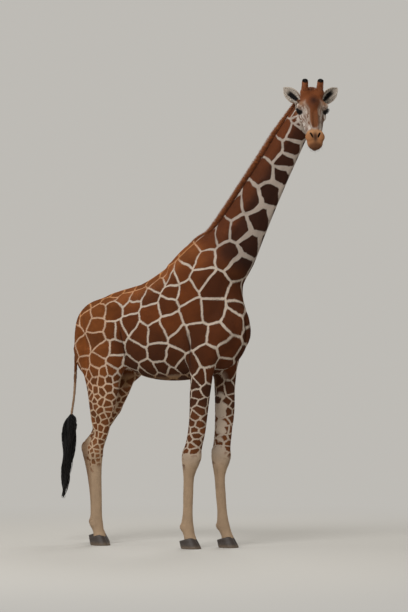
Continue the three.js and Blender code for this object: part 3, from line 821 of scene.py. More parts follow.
def cell_size(p):
    """How wide a patch is there, in millimetres."""
    hind = ease(p.x, -500, -700)
    on_neck = np.interp(p.up_neck, [0, 350, 800, 1200, 1500], [215, 205, 200, 150, 135])
    on_head = np.interp(p.along_head, [0, 150, 300, 450, 600], [46, 44, 36, 26, 22])
    return layered(
        p.count, 225.0,
        (165.0, ease(p.x, -820, -960)),  # haunch
        (118.0, ease(p.under_back, 150, 40) * (1 - p.neck)),  # along the back
        (120.0, ease(p.z, 1900, 1740) * hind),
        (76.0, ease(p.z, 1720, 1620) * hind),
        (110.0, ease(p.z, 1760, 1600) * (1 - hind)),
        (np.where(p.fore, 98.0, 66.0), ease(p.z, 1560, 1300)),
        (np.where(p.fore, 72.0, 46.0), ease(p.z, 1200, 900)),
        (on_neck, p.neck),
        (on_head, p.head),
    )


def line_width(p):
    """Half the width of the pale lines, in millimetres. On the neck they are widest between the
    two rows beside the throat, and narrow towards the mane."""
    on_neck = np.interp(p.up_neck, [-100, 200, 600, 1000, 1500], [11, 14, 17, 15, 12])
    beside = ease(p.throat_angle, 4, 20) * ease(p.throat_angle, 78, 58)
    on_neck += np.interp(p.up_neck, [-100, 100, 300, 850, 1050, 1500], [1, 10, 13, 15, 7, 5]) * beside
    mane_side = ease(p.throat_angle, 84, 98)
    on_neck += np.interp(p.up_neck, [100, 400, 900, 1100], [-1, 0, 4, 0]) * mane_side
    on_neck -= 6 * ease(p.throat_angle, 125, 150)
    return layered(
        p.count, 10.0,
        (6.5, ease(p.under_back, 190, 60)),
        (7.5, ease(p.x, -800, -950)),
        (11.0, ease(p.x, 60, 260)),
        (7.5, ease(p.z, 1750, 1600)),
        (np.where(p.fore, 10.0, 7.0), ease(p.z, 1500, 1200)),
        (on_neck, p.neck),
        (5.0, p.head),
    )


WAVES = ((237, 4.5), (141, 3.0), (93, 2.0))  # length and height of each, in millimetres
WAVE_AXES = np.array([[0.8, 0.36, -0.48], [-0.6, 0.48, -0.64], [0.0, 0.8, 0.6]])


def wobble(at):
    """Bends straight edges a little with three crossed waves. The legs are drawn out along their
    height, the fore legs by half, so patches there lie flat."""
    moved = at.copy()
    flatter = 0.1 + 0.4 * ease(at[:, 0], -700, -400)
    moved[:, 2] -= flatter * np.maximum(1450 - at[:, 2], 0)
    for k, (wave, high) in enumerate(WAVES):
        turned = at @ WAVE_AXES * (2 * math.pi / wave)
        moved += high * np.sin(turned[:, [1, 2, 0]] + k + 1.3 * np.sin(turned[:, [2, 0, 1]] * 0.61))
    return moved


NECK_PLACES = [  # metres up the neck, and degrees round it from the throat
    (1.44, 70), (1.29, 50), (1.155, 48), (1.02, 42), (0.825, 45), (0.555, 46), (0.31, 43),
    (0.075, 45), (-0.2, 66), (1.4, 132), (1.18, 122), (0.95, 108), (0.665, 105), (0.375, 94),
    (0.12, 80), (-0.07, 104), (0.49, 142), (0.27, 128), (0.09, 146),
]
LEFT_LIFT = 0.05  # how much higher, in metres, the same places are on the left side


def neck_seeds():
    """Seeds down the neck: a row of square blocks beside the throat, a row of longer ones beside
    the mane, and a third row where it widens."""
    t, angle = np.array(NECK_PLACES).T
    turn = np.radians(angle)
    seeds = []
    for side, lift in ((-1, 0.0), (1, LEFT_LIFT)):
        up = (t + lift) * 1000
        middle, _, high, wide = neck_bar.section(up)
        round_it = [up, middle + high * np.cos(turn), side * wide * np.sin(turn)]
        seeds.append(neck_frame.world(np.stack(round_it, 1)))
    return np.concatenate(seeds)


FLANK_PLACES = [  # on the right side of the trunk: distance along it, and height
    (-5, 2745), (-95, 2605), (-190, 2528), (-270, 2568), (-370, 2478), (-180, 2412), (0, 2400),
    (165, 2545), (70, 2225), (262, 2228), (-205, 2290), (-385, 2212), (-410, 2370),
    (-650, 2272), (-625, 2135), (-480, 2010), (-303, 2028), (-150, 2105), (-50, 1975), (130, 2010),
    (330, 2000), (445, 2150), (390, 1888), (245, 1805), (-290, 1840), (-150, 1785), (-72, 1706),
    (-548, 1855), (-745, 2045), (-838, 2055), (-1000, 2098), (-1002, 1972), (-840, 2235),
    (-1000, 2235), (-620, 2378), (-765, 2362), (-930, 2340), (-1145, 2175), (-1185, 1890),
    (-985, 1750), (-935, 1872), (-795, 1880), (-800, 1752), (-1165, 1728),
]


def flank_seeds():
    """Seeds on the right side of the trunk, each stepped inwards from beside it to the skin."""
    seeds = np.array([(x, -520, z) for x, z in FLANK_PLACES], float)
    for _ in range(40):
        seeds[:, 1] += np.clip(flesh(seeds), -20, 40) * 0.7
    return seeds


def nearest(at, seeds, count):
    """The numbers of the nearest seeds to each point, nearest first."""
    out = np.empty((len(at), count), int)
    a, b = at.astype(np.float32), seeds.astype(np.float32)
    squares = (b**2).sum(1)
    chunk = max(1, 20_000_000 // len(seeds))
    for start in range(0, len(at), chunk):
        part = slice(start, start + chunk)
        away = squares - 2 * a[part] @ b.T
        if count == 1:
            out[part, 0] = away.argmin(1)
            continue
        some = np.argpartition(away, count, axis=1)[:, :count]
        out[part] = np.take_along_axis(some, np.argsort(np.take_along_axis(away, some, 1), 1), 1)
    return out


def grow_seeds(at, size, fixed):
    """Seeds strewn over the skin at their own spacing, then evened out: each moves to the middle
    of its own patch twice. Fixed seeds stay where they are, and keep the others off."""
    rng = np.random.default_rng(21)
    free = np.ones(len(at), bool)
    for seed in fixed:
        free &= ((at - seed) ** 2).sum(1) > (0.95 * size) ** 2
    chosen = []
    for i in rng.permutation(len(at)):
        if free[i]:
            chosen.append(i)
            free &= ((at - at[i]) ** 2).sum(1) > (rng.uniform(0.68, 0.98) * size[i]) ** 2
    seeds = np.concatenate([fixed, at[chosen]])
    weight = 1 / size**2
    for _ in range(2):
        owner = nearest(at, seeds, 1)[:, 0]
        total = np.bincount(owner, weight, len(seeds))
        middle = np.stack([np.bincount(owner, weight * at[:, k], len(seeds)) for k in range(3)], 1)
        middle /= np.maximum(total, 1e-9)[:, None]
        moved = at[nearest(middle, at, 1)[:, 0]]
        moved = np.where((total > 0)[:, None], moved, seeds)
        seeds[len(fixed):] = moved[len(fixed):]
    return seeds


place = places(points)
size = cell_size(place)
# Every second vertex of the body and every fifth of the head may carry a seed, apart from those
# on the neck and the right flank, which have fixed ones.
free = np.concatenate([np.arange(0, base, 2), np.arange(base, len(points), 5)])
placed_neck = (place.up_neck > -90) & (place.up_neck < 1540) & (place.head < 0.5)
placed_neck &= (np.abs(place.throat) < 330) & (place.x > 150)
placed_flank = (place.y < -70) & (np.abs(place.x + 350) < 770) & (place.z > 1770)
placed_flank &= (place.under_back > 60) | (place.x > -250)
free = free[~(placed_neck | placed_flank)[free]]
fixed = wobble(np.concatenate([neck_seeds(), flank_seeds()]))
seeds = grow_seeds(wobble(points[free]), size[free], fixed)
tones = np.random.default_rng(5).uniform(0, 1, len(seeds))


def spot(*radii):
    """1 at the middle of a soft spot and 0 away from it. Each pair is a distance and a radius."""
    return np.exp(-sum((off / radius) ** 2 for off, radius in radii))


def crease(p, x, z, lean, ends):
    """1 along the bottom of an upright crease, where painted shade goes: where it is, how it leans, and
    where it ends.
    """
    off = p.x - x + lean * (p.z - z)
    return spot((off, 11)) * ease(np.abs(p.z - z), *ends)


def body_colours(p):
    """Colours of the patches and of the coat between them, and how strongly patches show there.
    The coat is darkened as painted shade in the crease behind the arm and the fold of the flank,
    and in part under the belly.
    """
    hind = ease(p.x, -600, -800)
    fore = 1 - hind
    trunk = 1 - p.neck
    # Painted shade: the coat is darkened along the crease behind the arm and the fold of the flank.
    arm_crease_shade = crease(p, 40, 1880, 0.07, (200, 110))
    flank_fold_shade = crease(p, -722, 1905, 0.18, (180, 100))
    shade = 0.75 * (np.maximum(arm_crease_shade, flank_fold_shade) * ease(p.side, 120, 200))
    belly = ease(p.z, 1720, 1600) * ease(p.side, 215, 130) * ease(p.z, 1480, 1540) * ease(p.x, 260, 60)
    tail = ease(p.x, -1330, -1390)
    patch = layered(
        p.count, "#5a2c0d",
        ("#46220a", ease(p.z, 2250, 1800) * ease(p.x, -780, -600)),
        ("#7d4620", ease(p.under_back, 300, 60) * trunk),
        ("#6c3b17", ease(p.x, -700, -1000)),
        ("#4e250b", ease(p.x, 60, 260) * trunk),
        ("#54290f", p.neck),
        ("#2f1406", p.neck * ease(p.throat, -70, 60)),
        ("#42210c", ease(p.z, 1750, 1500) * fore),
        ("#65391b", ease(p.z, 1750, 1400) * hind),
        ("#5f3417", ease(p.z, 1500, 1050) * fore),
        ("#7a5031", ease(p.z, 1080, 850) * hind),
        ("#5d3b24", p.head),
        # painted shade in the two creases
        ("#1c0c05", shade),
    )
    line = layered(
        p.count, "#bcae9f",
        ("#bf9f84", ease(p.x, -750, -1000)),
        ("#b98353", ease(p.under_back, 170, 30) * trunk * ease(p.x, 150, 0)),
        ("#9e9186", p.neck),
        ("#ab9b8b", ease(p.z, 1600, 1300) * fore),
        ("#b39a80", ease(p.z, 1600, 1200) * hind),
        ("#a0886f", ease(p.z, 1000, 700)),
        # the belly's own tan, darkened in part as painted shade under the body
        ("#93704e", belly),
        # painted shade in the two creases
        ("#3b2516", shade),
        ("#8a6f57", tail),
    )
    knee = np.where(p.fore, 850.0, 780.0)
    # Patches end at an uneven line on the insides of the legs.
    inner = p.side + 9 * np.sin(p.z / 31) + 6 * np.sin(p.z / 13 + 2)
    show = (1 - 0.45 * belly) * (1 - 0.7 * tail) * ease(p.z, knee - 150, knee + 180)
    return patch, line, show * (1 - 0.97 * ease(inner, 125, 100) * ease(p.z, 1530, 1400))


def face_colours(p):
    """The colour of the face, where patches are left out there, and how streaked it is."""
    along, high, side = p.along_head, p.up_head, np.abs(p.across_head)
    angle = np.degrees(np.arctan2(side, high))  # 0 along the top, 180 under the jaw
    places_along = [215, 262, 310, 450, 510]
    outer = np.interp(along, places_along, [88, 66, 46, 44, 36])
    inner = np.interp(along, places_along, [58, 42, 27, 26, 16])
    crown = ease(along, 235, 165) * ease(angle, 112, 84)
    stripe = ease(side, outer, inner) * ease(high, 0, 30) * ease(along, 530, 490) * ease(along, 110, 140)
    top = np.maximum(crown, stripe)
    beside = ease(side, outer + 34, outer - 4) * ease(along, 190, 240) * ease(along, 520, 440)
    boss = spot((along - 234, 66), (p.across_head, 46)) * ease(high, 40, 70)
    over_eye = spot((along - 205, 40), (side - 108, 34)) * ease(high, 20, 50)
    # A pale spot on the point of each brow: pale hair, with a painted highlight where light catches the
    # ridge.
    brow_pale_and_highlight = spot((along - 200, 22), (side - 150, 15))
    muzzle = ease(along, 512, 548)
    between = spot((along - 612, 46), (p.across_head, 20)) * ease(high, -40, 0)
    lips = muzzle * ease(high, -36, -62) * ease(high, -110, -70) + ease(along, 640, 672)
    face = layered(
        p.count, "#b0a79e",
        ("#c9bfb3", ease(along, 150, 60)),
        ("#7d6450", 0.75 * beside),
        ("#69381a", top),
        ("#633a20", top * ease(along, 300, 380)),
        ("#34170a", boss),
        ("#7d5a41", over_eye),
        ("#d8cec2", np.clip(1.3 * brow_pale_and_highlight, 0, 1)),
        ("#8d5f3c", muzzle),
        ("#a57a55", muzzle * ease(high, 20, 50) * ease(along, 600, 540)),
        ("#2b170e", 0.85 * np.clip(1.2 * between, 0, 1)),
        ("#4b2c1a", 0.8 * np.clip(lips, 0, 1)),
    )
    plain = np.maximum(ease(along, 150, 230), ease(angle, 100, 70))
    return face, plain, (1 - top) * (1 - muzzle) * ease(along, 190, 250)


def colours_at(at, p):
    """Colours of the patches and of the coat between them at points, how strongly patches show
    there, and how streaked the face is. Lids and nostrils are dark, and the ears are pale behind
    and round the rim and dark within."""
    patch, line, show = body_colours(p)
    face, plain, streaks = face_colours(p)
    line = blend(line, face, p.head)
    show = np.clip(show * (1 - p.head * plain), 0, 1)
    streaks = p.head * streaks

    def cover(line, show, streaks, colour, share, left_out=None):
        """Lays a colour over the coat, without patches or streaks."""
        left_out = share if left_out is None else left_out
        return blend(line, linear(colour), share), show * (1 - left_out), streaks * (1 - share)

    for eye in eye_frames.values():
        x, y, out = eye.local(at).T
        ball = np.sqrt(x * x + y * y + out * out)
        wide = 11 + 9 * ease(y, 0, 20) + 12 * ease(x, -4, 24)
        rim = ease(almond(x, y), wide, wide * 0.5 - 2) * ease(out, -14, -4) * ease(ball, 58, 46)
        under = spot((x - 6, 34), (y + 42, 20)) * ease(out, -30, 0) * ease(ball, 90, 60)
        line = blend(line, linear("#d3cabf"), 0.9 * under)
        streaks = streaks * (1 - under)
        line, show, streaks = cover(line, show, streaks, "#120b08", rim)
    for slit in nostril_forms:
        line, show, _ = cover(line, show, streaks, "#0e0805", ease(slit(at), 5, 0))
    for ear in ears.values():
        a, b, c = ear.local(at).T
        share = a / EAR["length"]
        half, cup = ear_shape(np.clip(share, 0, 1))
        x = b / (half + 4 + 8 * ease(share, 0.8, 1))
        over = c + cup * (1 - np.clip(x, -1, 1) ** 2)  # how far before the middle of the sheet
        off = np.abs(over - 3)
        on_ear = ease(share, 0.12, 0.3) * ease(np.abs(x), 1.35, 1.15) * ease(off, 17, 9)
        front = ease(share, 0.0, 0.15) * (off < 17) * ease(over, 3, 6)
        within = front * ease(np.abs(x + 0.1), 0.56, 0.28) * ease(share, 0.88, 0.66)
        left_out = on_ear * np.maximum(front, 0.35)
        line, show, streaks = cover(line, show, streaks, "#a89d91", on_ear, left_out)
        line = blend(line, linear("#0b0706"), within)
    return patch, line, show, streaks


def stretched(p):
    """Metres along, up and across the head, drawn out along it for the streaks of the face."""
    return np.stack([p.along_head * 0.22, p.up_head, p.across_head], 1) * 0.001


def give(mesh, name, values, domain="POINT"):
    """Stores numbers, vectors or RGBA colours on a mesh as a named attribute."""
    values = np.asarray(values, np.float32)
    columns = values.shape[1] if values.ndim == 2 else 1
    kind, field = {
        1: ("FLOAT", "value"), 3: ("FLOAT_VECTOR", "vector"), 4: ("FLOAT_COLOR", "color"),
    }[columns]
    mesh.attributes.new(name, kind, domain).data.foreach_set(field, values.ravel())


def rgba(colours):
    return np.concatenate([colours, np.ones((len(colours), 1))], 1)


UNIT = 0.001
# The form's own millimetres sit this far from the CAD's origin.
HOME = np.array(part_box("eye_left")).mean(0) / UNIT - head_frame.world(EYE_MIDDLE)


def mesh_from(name, at, *groups, smooth=True):
    """A mesh object from points in the form's millimetres and one or more arrays of faces."""
    mesh = bpy.data.meshes.new(name)
    mesh.vertices.add(len(at))
    mesh.vertices.foreach_set("co", ((at + HOME) * UNIT).astype(np.float32).ravel())
    corners = np.concatenate([group.ravel() for group in groups]).astype(np.int32)
    sides = np.concatenate([np.full(len(group), group.shape[1], np.int32) for group in groups])
    mesh.loops.add(len(corners))
    mesh.loops.foreach_set("vertex_index", corners)
    mesh.polygons.add(len(sides))
    mesh.polygons.foreach_set("loop_start", (np.cumsum(sides) - sides).astype(np.int32))
    mesh.update(calc_edges=True)
    mesh.polygons.foreach_set("use_smooth", np.full(len(sides), smooth))
    piece = bpy.data.objects.new(name, mesh)
    bpy.context.scene.collection.objects.link(piece)
    return piece


def tones_near(at, close):
    """How far each point lies inside its patch, and the patch's tone, from the numbers of the
    seeds close to it: the least of (d_k^2 - d_1^2) / (2 |s_k - s_1|)."""
    near = seeds[close]
    away = np.linalg.norm(wobble(at)[:, None] - near, axis=2)
    first = away.argmin(1)[:, None]
    own = np.take_along_axis(near, first[..., None], 1)
    apart = np.linalg.norm(near - own, axis=2)
    inside = (away**2 - np.take_along_axis(away, first, 1) ** 2) / np.maximum(2 * apart, 1e-9)
    np.put_along_axis(inside, first, np.inf, 1)
    return inside.min(1), tones[np.take_along_axis(close, first, 1)[:, 0]]


patch_colour, line_colour, show, streaks = colours_at(points, place)
skin = mesh_from("skin", points, quads, triangles)
mesh = skin.data
centres = np.concatenate([points[quads].mean(1), points[triangles].mean(1)])
close_seeds = nearest(wobble(centres), seeds, 4)
give(mesh, "warped", wobble(points) * UNIT)
give(mesh, "patch_colour", rgba(patch_colour))
give(mesh, "line_colour", rgba(line_colour))
give(mesh, "half_line", line_width(place) * UNIT)
give(mesh, "show", show)
give(mesh, "streaks", stretched(place))
give(mesh, "streaked", streaks)
for k in range(4):
    give(mesh, f"seed_{k}", seeds[close_seeds[:, k]] * UNIT, "FACE")
give(mesh, "tones", tones[close_seeds], "FACE")


def link(tree, node, **links):
    """Sets sockets of a node, each to a value or to what a node or socket gives. Names of sockets
    are given with _ for spaces, or as i0, i1 for their number."""
    for key, value in links.items():
        number = key[0] == "i" and key[1:].isdigit()
        socket = node.inputs[int(key[1:]) if number else key.replace("_", " ")]
        if isinstance(value, bpy.types.Node):
            value = value.outputs[0]
        if isinstance(value, bpy.types.NodeSocket):
            tree.links.new(value, socket)
        else:
            socket.default_value = value
    return node


def add(tree, kind, settings=None, **links):
    """Adds a node. Settings are its own properties, links its sockets."""
    node = tree.nodes.new("ShaderNode" + kind)
    for key, value in (settings or {}).items():
        setattr(node, key, value)
    return link(tree, node, **links)


def material(name, build):
    """A material whose Principled shader is set up by a function of the node tree and shader."""
    made = bpy.data.materials.new(name)
    made.use_nodes = True
    build(made.node_tree, made.node_tree.nodes["Principled BSDF"])
    return made


def maths(tree, operation, *values):
    return add(tree, "Math", {"operation": operation}, **{f"i{i}": v for i, v in enumerate(values)})


def vector_maths(tree, operation, a, b):
    return add(tree, "VectorMath", {"operation": operation}, i0=a, i1=b)


def scaled(tree, vector, by):
    return add(tree, "VectorMath", {"operation": "SCALE"}, i0=vector, Scale=by).outputs[0]


def read(tree, name, kind="Vector"):
    """Reads a mesh's own attribute."""
    return add(tree, "Attribute", {"attribute_name": name}).outputs[kind]


def noise(tree, scale, place=None, **more):
    """Cloudy noise, over the object's own metres unless a place is given."""
    place = add(tree, "TexCoord").outputs["Object"] if place is None else place
    return add(tree, "TexNoise", None, Vector=place, Scale=scale, **more).outputs[0]


def step(tree, value, low, high, kind="SMOOTHSTEP"):
    """0 at low and 1 at high, with a smooth or an even rise between."""
    return add(tree, "MapRange", {"interpolation_type": kind}, i0=value, i1=low, i2=high).outputs[0]


def mix(tree, share, a, b):
    """From a to b by a share. Each is a socket, a node or a hex colour."""
    a, b = (tuple(linear(end)) if isinstance(end, str) else end for end in (a, b))
    return add(tree, "Mix", {"data_type": "VECTOR"}, i0=share, i4=a, i5=b).outputs[1]


def bumped(tree, shader, height, strength, distance):
    """Raises and sinks the look of a surface by a height."""
    bump = add(tree, "Bump", None, Strength=strength, Distance=distance, Height=height)
    link(tree, shader, Normal=bump)


def markings(tree):
    """How far a point lies inside its patch, and the patch's tone. The distance is the least of
    (d_k^2 - d_1^2) / (2 |s_k - s_1|) over the other seeds s_k close to it."""
    warped = read(tree, "warped")
    seed_at = [read(tree, f"seed_{k}") for k in range(4)]
    away = [vector_maths(tree, "DISTANCE", warped, seed).outputs["Value"] for seed in seed_at]
    first = maths(tree, "MINIMUM", maths(tree, "MINIMUM", *away[:2]), maths(tree, "MINIMUM", *away[2:]))
    shades = add(tree, "Attribute", {"attribute_name": "tones"})
    three = add(tree, "SeparateColor", i0=shades.outputs["Color"])
    tone, own, is_own = 0.0, (0.0, 0.0, 0.0), []
    for distance, seed, value in zip(away, seed_at, [*three.outputs[:3], shades.outputs["Alpha"]]):
        is_own.append(maths(tree, "COMPARE", distance, first, 1e-6))
        tone = maths(tree, "MULTIPLY_ADD", is_own[-1], value, tone)
        own = vector_maths(tree, "ADD", own, scaled(tree, seed, is_own[-1])).outputs[0]
    past = 1.0
    for distance, seed, mine in zip(away, seed_at, is_own):
        apart = vector_maths(tree, "DISTANCE", seed, own).outputs["Value"]
        squares = [maths(tree, "MULTIPLY", value, value) for value in (distance, first)]
        twice = maths(tree, "MULTIPLY_ADD", apart, 2.0, mine)
        inside = maths(tree, "DIVIDE", maths(tree, "SUBTRACT", *squares), twice)
        past = maths(tree, "MINIMUM", past, maths(tree, "ADD", inside, mine))
    return past, tone


def tint(tree, shader, mark, tone):
    """The coat's colour: patch or line, each patch with its own tone, both a little uneven, and
    brown streaks over the white of the face. Dull hair with a faint sheen."""
    broad = noise(tree, 9.0, Detail=4.0, Roughness=0.55)
    shade = maths(tree, "MULTIPLY_ADD", tone, 0.5, 0.75)
    shade = maths(tree, "MULTIPLY", shade, maths(tree, "MULTIPLY_ADD", broad, 0.7, 0.66))
    patch = scaled(tree, read(tree, "patch_colour", "Color"), shade)
    pale = maths(tree, "MULTIPLY_ADD", broad, 0.5, 0.75)
    line = scaled(tree, read(tree, "line_colour", "Color"), pale)
    grain = noise(tree, 62.0, read(tree, "streaks"), Detail=3.0, Distortion=0.8)
    mottle = maths(tree, "MULTIPLY", step(tree, grain, 0.44, 0.55), read(tree, "streaked", "Fac"))
    line = mix(tree, maths(tree, "MULTIPLY", mottle, 0.85), line, "#5f3b25")
    link(tree, shader, Roughness=0.72, Sheen_Weight=0.02, Specular_IOR_Level=0.14)
    return mix(tree, mark, line, patch)


def hide(tree, shader):
    """The skin with the roots of its short hair, a little rough."""
    past, tone = markings(tree)
    fine = noise(tree, 90.0, Detail=3.0, Roughness=0.6)
    ragged = maths(tree, "MULTIPLY_ADD", fine, 0.008, -0.004)
    edge = maths(tree, "SUBTRACT", maths(tree, "ADD", past, ragged), read(tree, "half_line", "Fac"))
    # Where patches show only in part, those of a darker tone are left out first.
    shown = maths(tree, "MULTIPLY", read(tree, "show", "Fac"), 5.0)
    kept = add(tree, "Clamp", None, i0=maths(tree, "SUBTRACT", shown, maths(tree, "MULTIPLY", tone, 4.0)))
    mark = maths(tree, "MULTIPLY", step(tree, edge, -0.0018, 0.0022), kept)
    link(tree, shader, Base_Color=tint(tree, shader, mark, tone))
    bumped(tree, shader, fine, 0.5, 0.002)


mesh.materials.append(material("short_hair", hide))
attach(skin, "root")
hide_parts("trunk", "neck", "head", "tail", *legs, "ear_left", "ear_right")

# --- Eyes -------------------------------------------------------------------------------------
# Each eye is a ball 49 mm across with a raised cornea, a nearly black brown, with a level,
# oblong pupil. It is wet, so it mirrors the sky.
BALL = 24.4
CORNEA = {"rise": 1.3, "reach": math.radians(26)}
PUPIL = (0.4, 0.22)  # half its length and half its height, as shares of the eye's radius


def turns(count):
    """Angles evenly round a circle."""
    return np.arange(count) / count * 2 * np.pi


def tube(rings):
    """A closed skin over rings of points: quads between rings and a fan over each end."""
    count, sides, _ = rings.shape
    i = np.arange(count * sides).reshape(count, sides)
    j = np.roll(i, -1, 1)
    walls = np.stack([i[:-1], j[:-1], j[1:], i[1:]], -1).reshape(-1, 4)
    first, last = np.full(sides, count * sides), np.full(sides, count * sides + 1)
    fans = np.concatenate([np.stack([j[0], i[0], first], 1), np.stack([i[-1], j[-1], last], 1)])
    at = np.concatenate([rings.reshape(-1, 3), [rings[0].mean(0)], [rings[-1].mean(0)]])
    return at, walls, fans


def eyeball(tree, shader):
    """A wet eye: dark brown iris, black oblong pupil, darker towards the lids."""
    x, y, _ = add(tree, "SeparateXYZ", i0=read(tree, "gaze")).outputs
    wide, tall = (maths(tree, "POWER", maths(tree, "DIVIDE", at, half), 2.0)
                  for at, half in zip((x, y), PUPIL))
    pupil = step(tree, maths(tree, "ADD", wide, tall), 0.85, 1.15, "LINEAR")
    squares = [maths(tree, "MULTIPLY", at, at) for at in (x, y)]
    away = maths(tree, "SQRT", maths(tree, "ADD", *squares))
    iris = mix(tree, step(tree, away, 0.6, 0.72), "#2b170c", "#120b08")
    link(tree, shader, Base_Color=mix(tree, pupil, "#040303", iris), Roughness=0.12, IOR=1.38)
    link(tree, shader, Coat_Weight=1.0, Coat_Roughness=0.02)


wet_eye = material("wet_eye", eyeball)
for eye_name, eye_frame in eye_frames.items():
    long, up, out = eye_frame.axes
    polar, turn = np.meshgrid(np.radians(np.linspace(4, 176, 26)), turns(36), indexing="ij")
    ball = np.stack([np.sin(polar) * np.cos(turn), np.sin(polar) * np.sin(turn), -np.cos(polar)], -1)
    ball = ball @ np.stack([long, up, np.cross(long, up)])
    off_gaze = np.arccos((ball @ out).clip(-1, 1))
    radius = BALL + CORNEA["rise"] * spot((off_gaze, CORNEA["reach"]))
    at, walls, fans = tube(eye_frame.origin + ball * radius[..., None])
    eye = mesh_from(f"eye_{eye_name}", at, walls, fans)
    give(eye.data, "gaze", eye_frame.local(at) / EYE_RADIUS)
    eye.data.materials.append(wet_eye)
    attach(eye, "root")
    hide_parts(f"eye_{eye_name}")

# --- Horns ------------------------------------------------------------------------------------
# Two bony horns 128 mm tall under haired skin, thickest at the foot and rounded on top. The skin
# is orange brown, and black at the very tip.
HORN = {"foot": (84, 108, 68), "way": (-0.2, 1, 0.03), "length": 130}
HORN_ROWS = [  # height, radius
    (-34, 36), (0, 35), (14, 34), (30, 32), (50, 30.5), (70, 29.5), (88, 29), (100, 29),
    (112, 27.5), (120, 23.5), (126, 15), (128.5, 7),
]


def stand(way):
    """Two directions square to a third, so that the three make a right-handed set."""
    way = unit(way)
    side = unit(np.cross(way, [0.3, 0.2, 0.9]))
    return np.stack([side, np.cross(way, side), way])


def spokes(turn, axes):
    """Directions round an axis, at angles from the first of the two square to it."""
    return np.cos(turn)[:, None] * axes[0] + np.sin(turn)[:, None] * axes[1]


def horn_skin(tree, shader):
    """Haired skin drawn over the bone of a horn."""
    share = read(tree, "share", "Fac")
    grain = noise(tree, 120.0, Detail=3.0)
    black = step(tree, maths(tree, "MULTIPLY_ADD", grain, 0.16, share), 0.96, 1.04)
    brown = mix(tree, step(tree, share, 0.0, 0.5, "LINEAR"), "#76411f", "#7a3f17")
    colour = mix(tree, black, brown, "#100b09")
    link(tree, shader, Base_Color=colour, Roughness=0.75, Sheen_Weight=0.08)
    bumped(tree, shader, grain, 0.5, 0.0015)


horn_hide = material("horn_skin", horn_skin)
horns = {}
for horn_name, mirror in SIDES.items():
    foot = head_frame.world(HORN["foot"] * mirror)
    axes = stand((HORN["way"] * mirror) @ head_frame.axes)
    horns[horn_name] = (foot, axes)
    height, radius = strung(HORN_ROWS, 40).T[:, :, None]
    turn = turns(40)
    lumpy = 1 + 0.025 * np.sin(3 * turn + 1.3 * mirror[2]) * np.sin(height / 19)
    rings = height[..., None] * axes[2] + (radius * lumpy)[..., None] * spokes(turn, axes)
    at, walls, fans = tube(foot + rings)
    horn = mesh_from(f"ossicone_{horn_name}", at, walls, fans)
    give(horn.data, "share", (at - foot) @ axes[2] / HORN["length"])
    horn.data.materials.append(horn_hide)
    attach(horn, "root")
    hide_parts(f"ossicone_{horn_name}")

# --- Hooves -----------------------------------------------------------------------------------
# Two claws to a foot, together 196 mm long and 158 mm wide, parted by a cleft of 5 mm. The wall
# slopes at the toe and carries growth rings; each claw ends at the sloping edge of the hair.
HOOF = {
    "length": 196, "toe": 0.56, "heel": 0.44, "width": 158, "cleft": 5,
    "toe_lean": 0.62, "heel_lean": 0.2, "flare": 0.16, "ring": 0.7, "ring_pitch": 0.9,
}
CORONET = 92  # the height of the hair's edge at the middle of the foot
CORONET_SLOPE = math.tan(math.radians(14))


def horn_wall(tree, shader):
    """Worn, dull hoof horn with growth rings and dust towards the sole."""
    height = add(tree, "SeparateXYZ", i0=add(tree, "TexCoord").outputs["Object"]).outputs[2]
    grain = noise(tree, 60.0, Detail=4.0)
    waved = maths(tree, "MULTIPLY_ADD", grain, 0.004, height)
    rings = maths(tree, "SINE", maths(tree, "MULTIPLY", waved, 900.0))
    dust = step(tree, maths(tree, "MULTIPLY_ADD", grain, 0.03, height), 0.06, 0.015)
    colour = mix(tree, maths(tree, "MULTIPLY", dust, 0.55), "#332923", "#7d6a56")
    link(tree, shader, Base_Color=colour, Roughness=0.55)
    bumped(tree, shader, maths(tree, "MULTIPLY_ADD", rings, 0.3, grain), 0.35, 0.0012)


hoof_wall = material("hoof_horn", horn_wall)
for leg_name, leg_bar in legs.items():
    middle_x, middle_y, _, _ = leg_bar.section(CORONET)
    outward = math.copysign(1, middle_y)
    for claw_name, side in (("outer", outward), ("inner", -outward)):
        share = np.linspace(0, 1.04, 18)[:, None]
        z = share * (CORONET + 8)
        toe = HOOF["length"] * HOOF["toe"] - z * HOOF["toe_lean"]
        heel = -HOOF["length"] * HOOF["heel"] - z * HOOF["heel_lean"]
        wide = HOOF["width"] / 2 * (1 - HOOF["flare"] * z / CORONET)
        turn = np.linspace(0, np.pi, 26)[None]
        ahead = (toe + heel) / 2 + (toe - heel) / 2 * np.cos(turn)
        ring = HOOF["ring"] * np.sin(z * HOOF["ring_pitch"])
        bulge = np.sin(turn).clip(0, 1) ** 0.75
        out = HOOF["cleft"] / 2 + (wide - HOOF["cleft"] / 2 + ring) * bulge
        z = share * (CORONET + CORONET_SLOPE * ahead)
        rounded = 1 - 0.05 * ease(share, 0.09, 0)  # the rim of the sole
        at = np.stack([middle_x + ahead * rounded, middle_y + side * out * rounded, z + 0 * out], -1)
        if side < 0:
            at = at[:, ::-1]
        claw = mesh_from(f"{leg_name.replace('leg', 'hoof')}_{claw_name}", *tube(at))
        claw.data.materials.append(hoof_wall)
        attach(claw, "root")
        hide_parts(f"{leg_name.replace('leg', 'hoof')}_{claw_name}")

# --- Mane -------------------------------------------------------------------------------------
# A brush of stiff locks, 66 mm high, down the nape from between the horns to the withers. It is
# dark red brown inside and lighter at the tips.
MANE = {"from": -160, "to": 1745, "height": 66, "locks": 6200}
PATCH = 0.003  # the width of one lock's place on its unwrapped sheet


